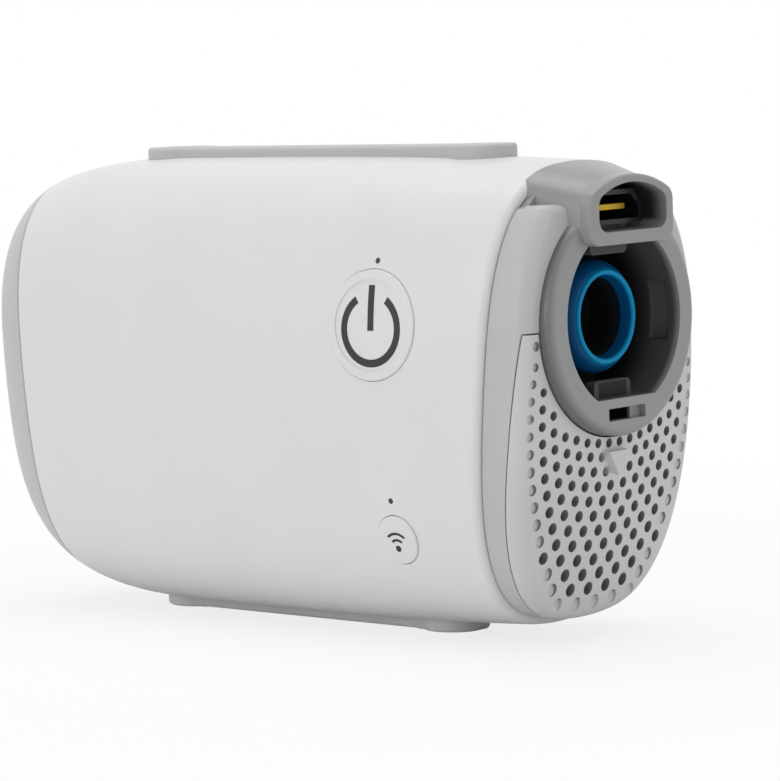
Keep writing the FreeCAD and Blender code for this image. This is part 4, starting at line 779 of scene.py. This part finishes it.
def paper(name):
    """White paper that the camera sees fade to plain white away from the object."""
    made = bpy.data.materials.new(name)
    made.use_nodes = True
    tree = made.node_tree
    shader = tree.nodes["Principled BSDF"]
    shader.inputs["Base Color"].default_value = PAPER_COLOUR
    shader.inputs["Roughness"].default_value = PAPER_ROUGHNESS
    white = tree.nodes.new("ShaderNodeEmission")
    reach = tree.nodes.new("ShaderNodeVectorMath")
    reach.operation = "LENGTH"
    link(tree, object_place(tree), reach.inputs[0])
    fade = mapped(tree, reach.outputs["Value"], (WHITE_FROM, WHITE_AT), (NEAR_WHITE, 1.0), smoothed=True)
    shown = math_node(tree, "MULTIPLY", fade, tree.nodes.new("ShaderNodeLightPath").outputs["Is Camera Ray"])
    mixed = tree.nodes.new("ShaderNodeMixShader")
    link(tree, shown, mixed.inputs["Fac"])
    link(tree, shader.outputs["BSDF"], mixed.inputs[1])
    link(tree, white.outputs["Emission"], mixed.inputs[2])
    link(tree, mixed.outputs["Shader"], tree.nodes["Material Output"].inputs["Surface"])
    return made


def studio(name):
    """A dim white room, which the camera and mirrored or transmitted rays see as plain white."""
    made = bpy.data.worlds.new(name)
    made.use_nodes = True
    tree = made.node_tree
    lit = tree.nodes["Background"]
    lit.inputs["Color"].default_value = WHITE
    lit.inputs["Strength"].default_value = SKY_LIGHT
    plain = tree.nodes.new("ShaderNodeBackground")
    plain.inputs["Color"].default_value = WHITE
    plain.inputs["Strength"].default_value = 1.0
    rays = tree.nodes.new("ShaderNodeLightPath").outputs
    either = tree.nodes.new("ShaderNodeMixShader")
    link(tree, largest(tree, rays["Is Glossy Ray"], rays["Is Transmission Ray"], rays["Is Camera Ray"]),
         either.inputs["Fac"])
    link(tree, lit.outputs["Background"], either.inputs[1])
    link(tree, plain.outputs["Background"], either.inputs[2])
    link(tree, either.outputs["Shader"], tree.nodes["World Output"].inputs["Surface"])
    return made


def softbox(name, place, width, height, power):
    """A rectangular lamp that faces the object."""
    data = bpy.data.lights.new(name, "AREA")
    data.shape = "RECTANGLE"
    data.size = width
    data.size_y = height
    data.energy = power
    lamp = placed(name, data)
    lamp.location = place
    lamp.rotation_euler = (Vector(CENTRE) - Vector(place)).to_track_quat("-Z", "Y").to_euler()


bpy.ops.mesh.primitive_plane_add(size=FLOOR_SIZE, location=(0.0, 0.0, 0.0))
floor = bpy.context.object
floor.name = "floor"
floor.data.materials.append(paper("floor_paper"))
bpy.context.scene.world = studio("studio")
for name, values in SOFT_BOXES.items():
    softbox(name, *values)

# The camera was fitted to the photograph: azimuth, elevation and roll, distance and aim.
CAMERA_AZIMUTH = math.radians(41.0)
CAMERA_ELEVATION = math.radians(5.42)
CAMERA_ROLL = math.radians(2.02)
CAMERA_DISTANCE = 655.18 * MM
CAMERA_AIM = (-10.197 * MM, 1.873 * MM)
FOCAL_PIXELS = 3688.0
PHOTO_HEIGHT_PIXELS = 781.0
SENSOR_MM = 36.0

away = Vector((math.sin(CAMERA_AZIMUTH) * math.cos(CAMERA_ELEVATION),
               -math.cos(CAMERA_AZIMUTH) * math.cos(CAMERA_ELEVATION), math.sin(CAMERA_ELEVATION)))
right = Vector((math.cos(CAMERA_AZIMUTH), math.sin(CAMERA_AZIMUTH), 0.0))
up = away.cross(right)
camera_right = right * math.cos(CAMERA_ROLL) - up * math.sin(CAMERA_ROLL)
camera_up = right * math.sin(CAMERA_ROLL) + up * math.cos(CAMERA_ROLL)
camera_data = bpy.data.cameras.new("camera")
camera_data.sensor_width = SENSOR_MM
camera_data.lens = FOCAL_PIXELS / PHOTO_HEIGHT_PIXELS * SENSOR_MM
camera = placed("camera", camera_data)
camera_place = away * CAMERA_DISTANCE - right * CAMERA_AIM[0] - up * CAMERA_AIM[1] + Vector(CENTRE)
camera_turn = Matrix((camera_right, camera_up, away)).transposed().to_4x4()
camera.matrix_world = Matrix.Translation(camera_place) @ camera_turn
bpy.context.scene.camera = camera
bpy.context.scene.view_settings.view_transform = "Standard"
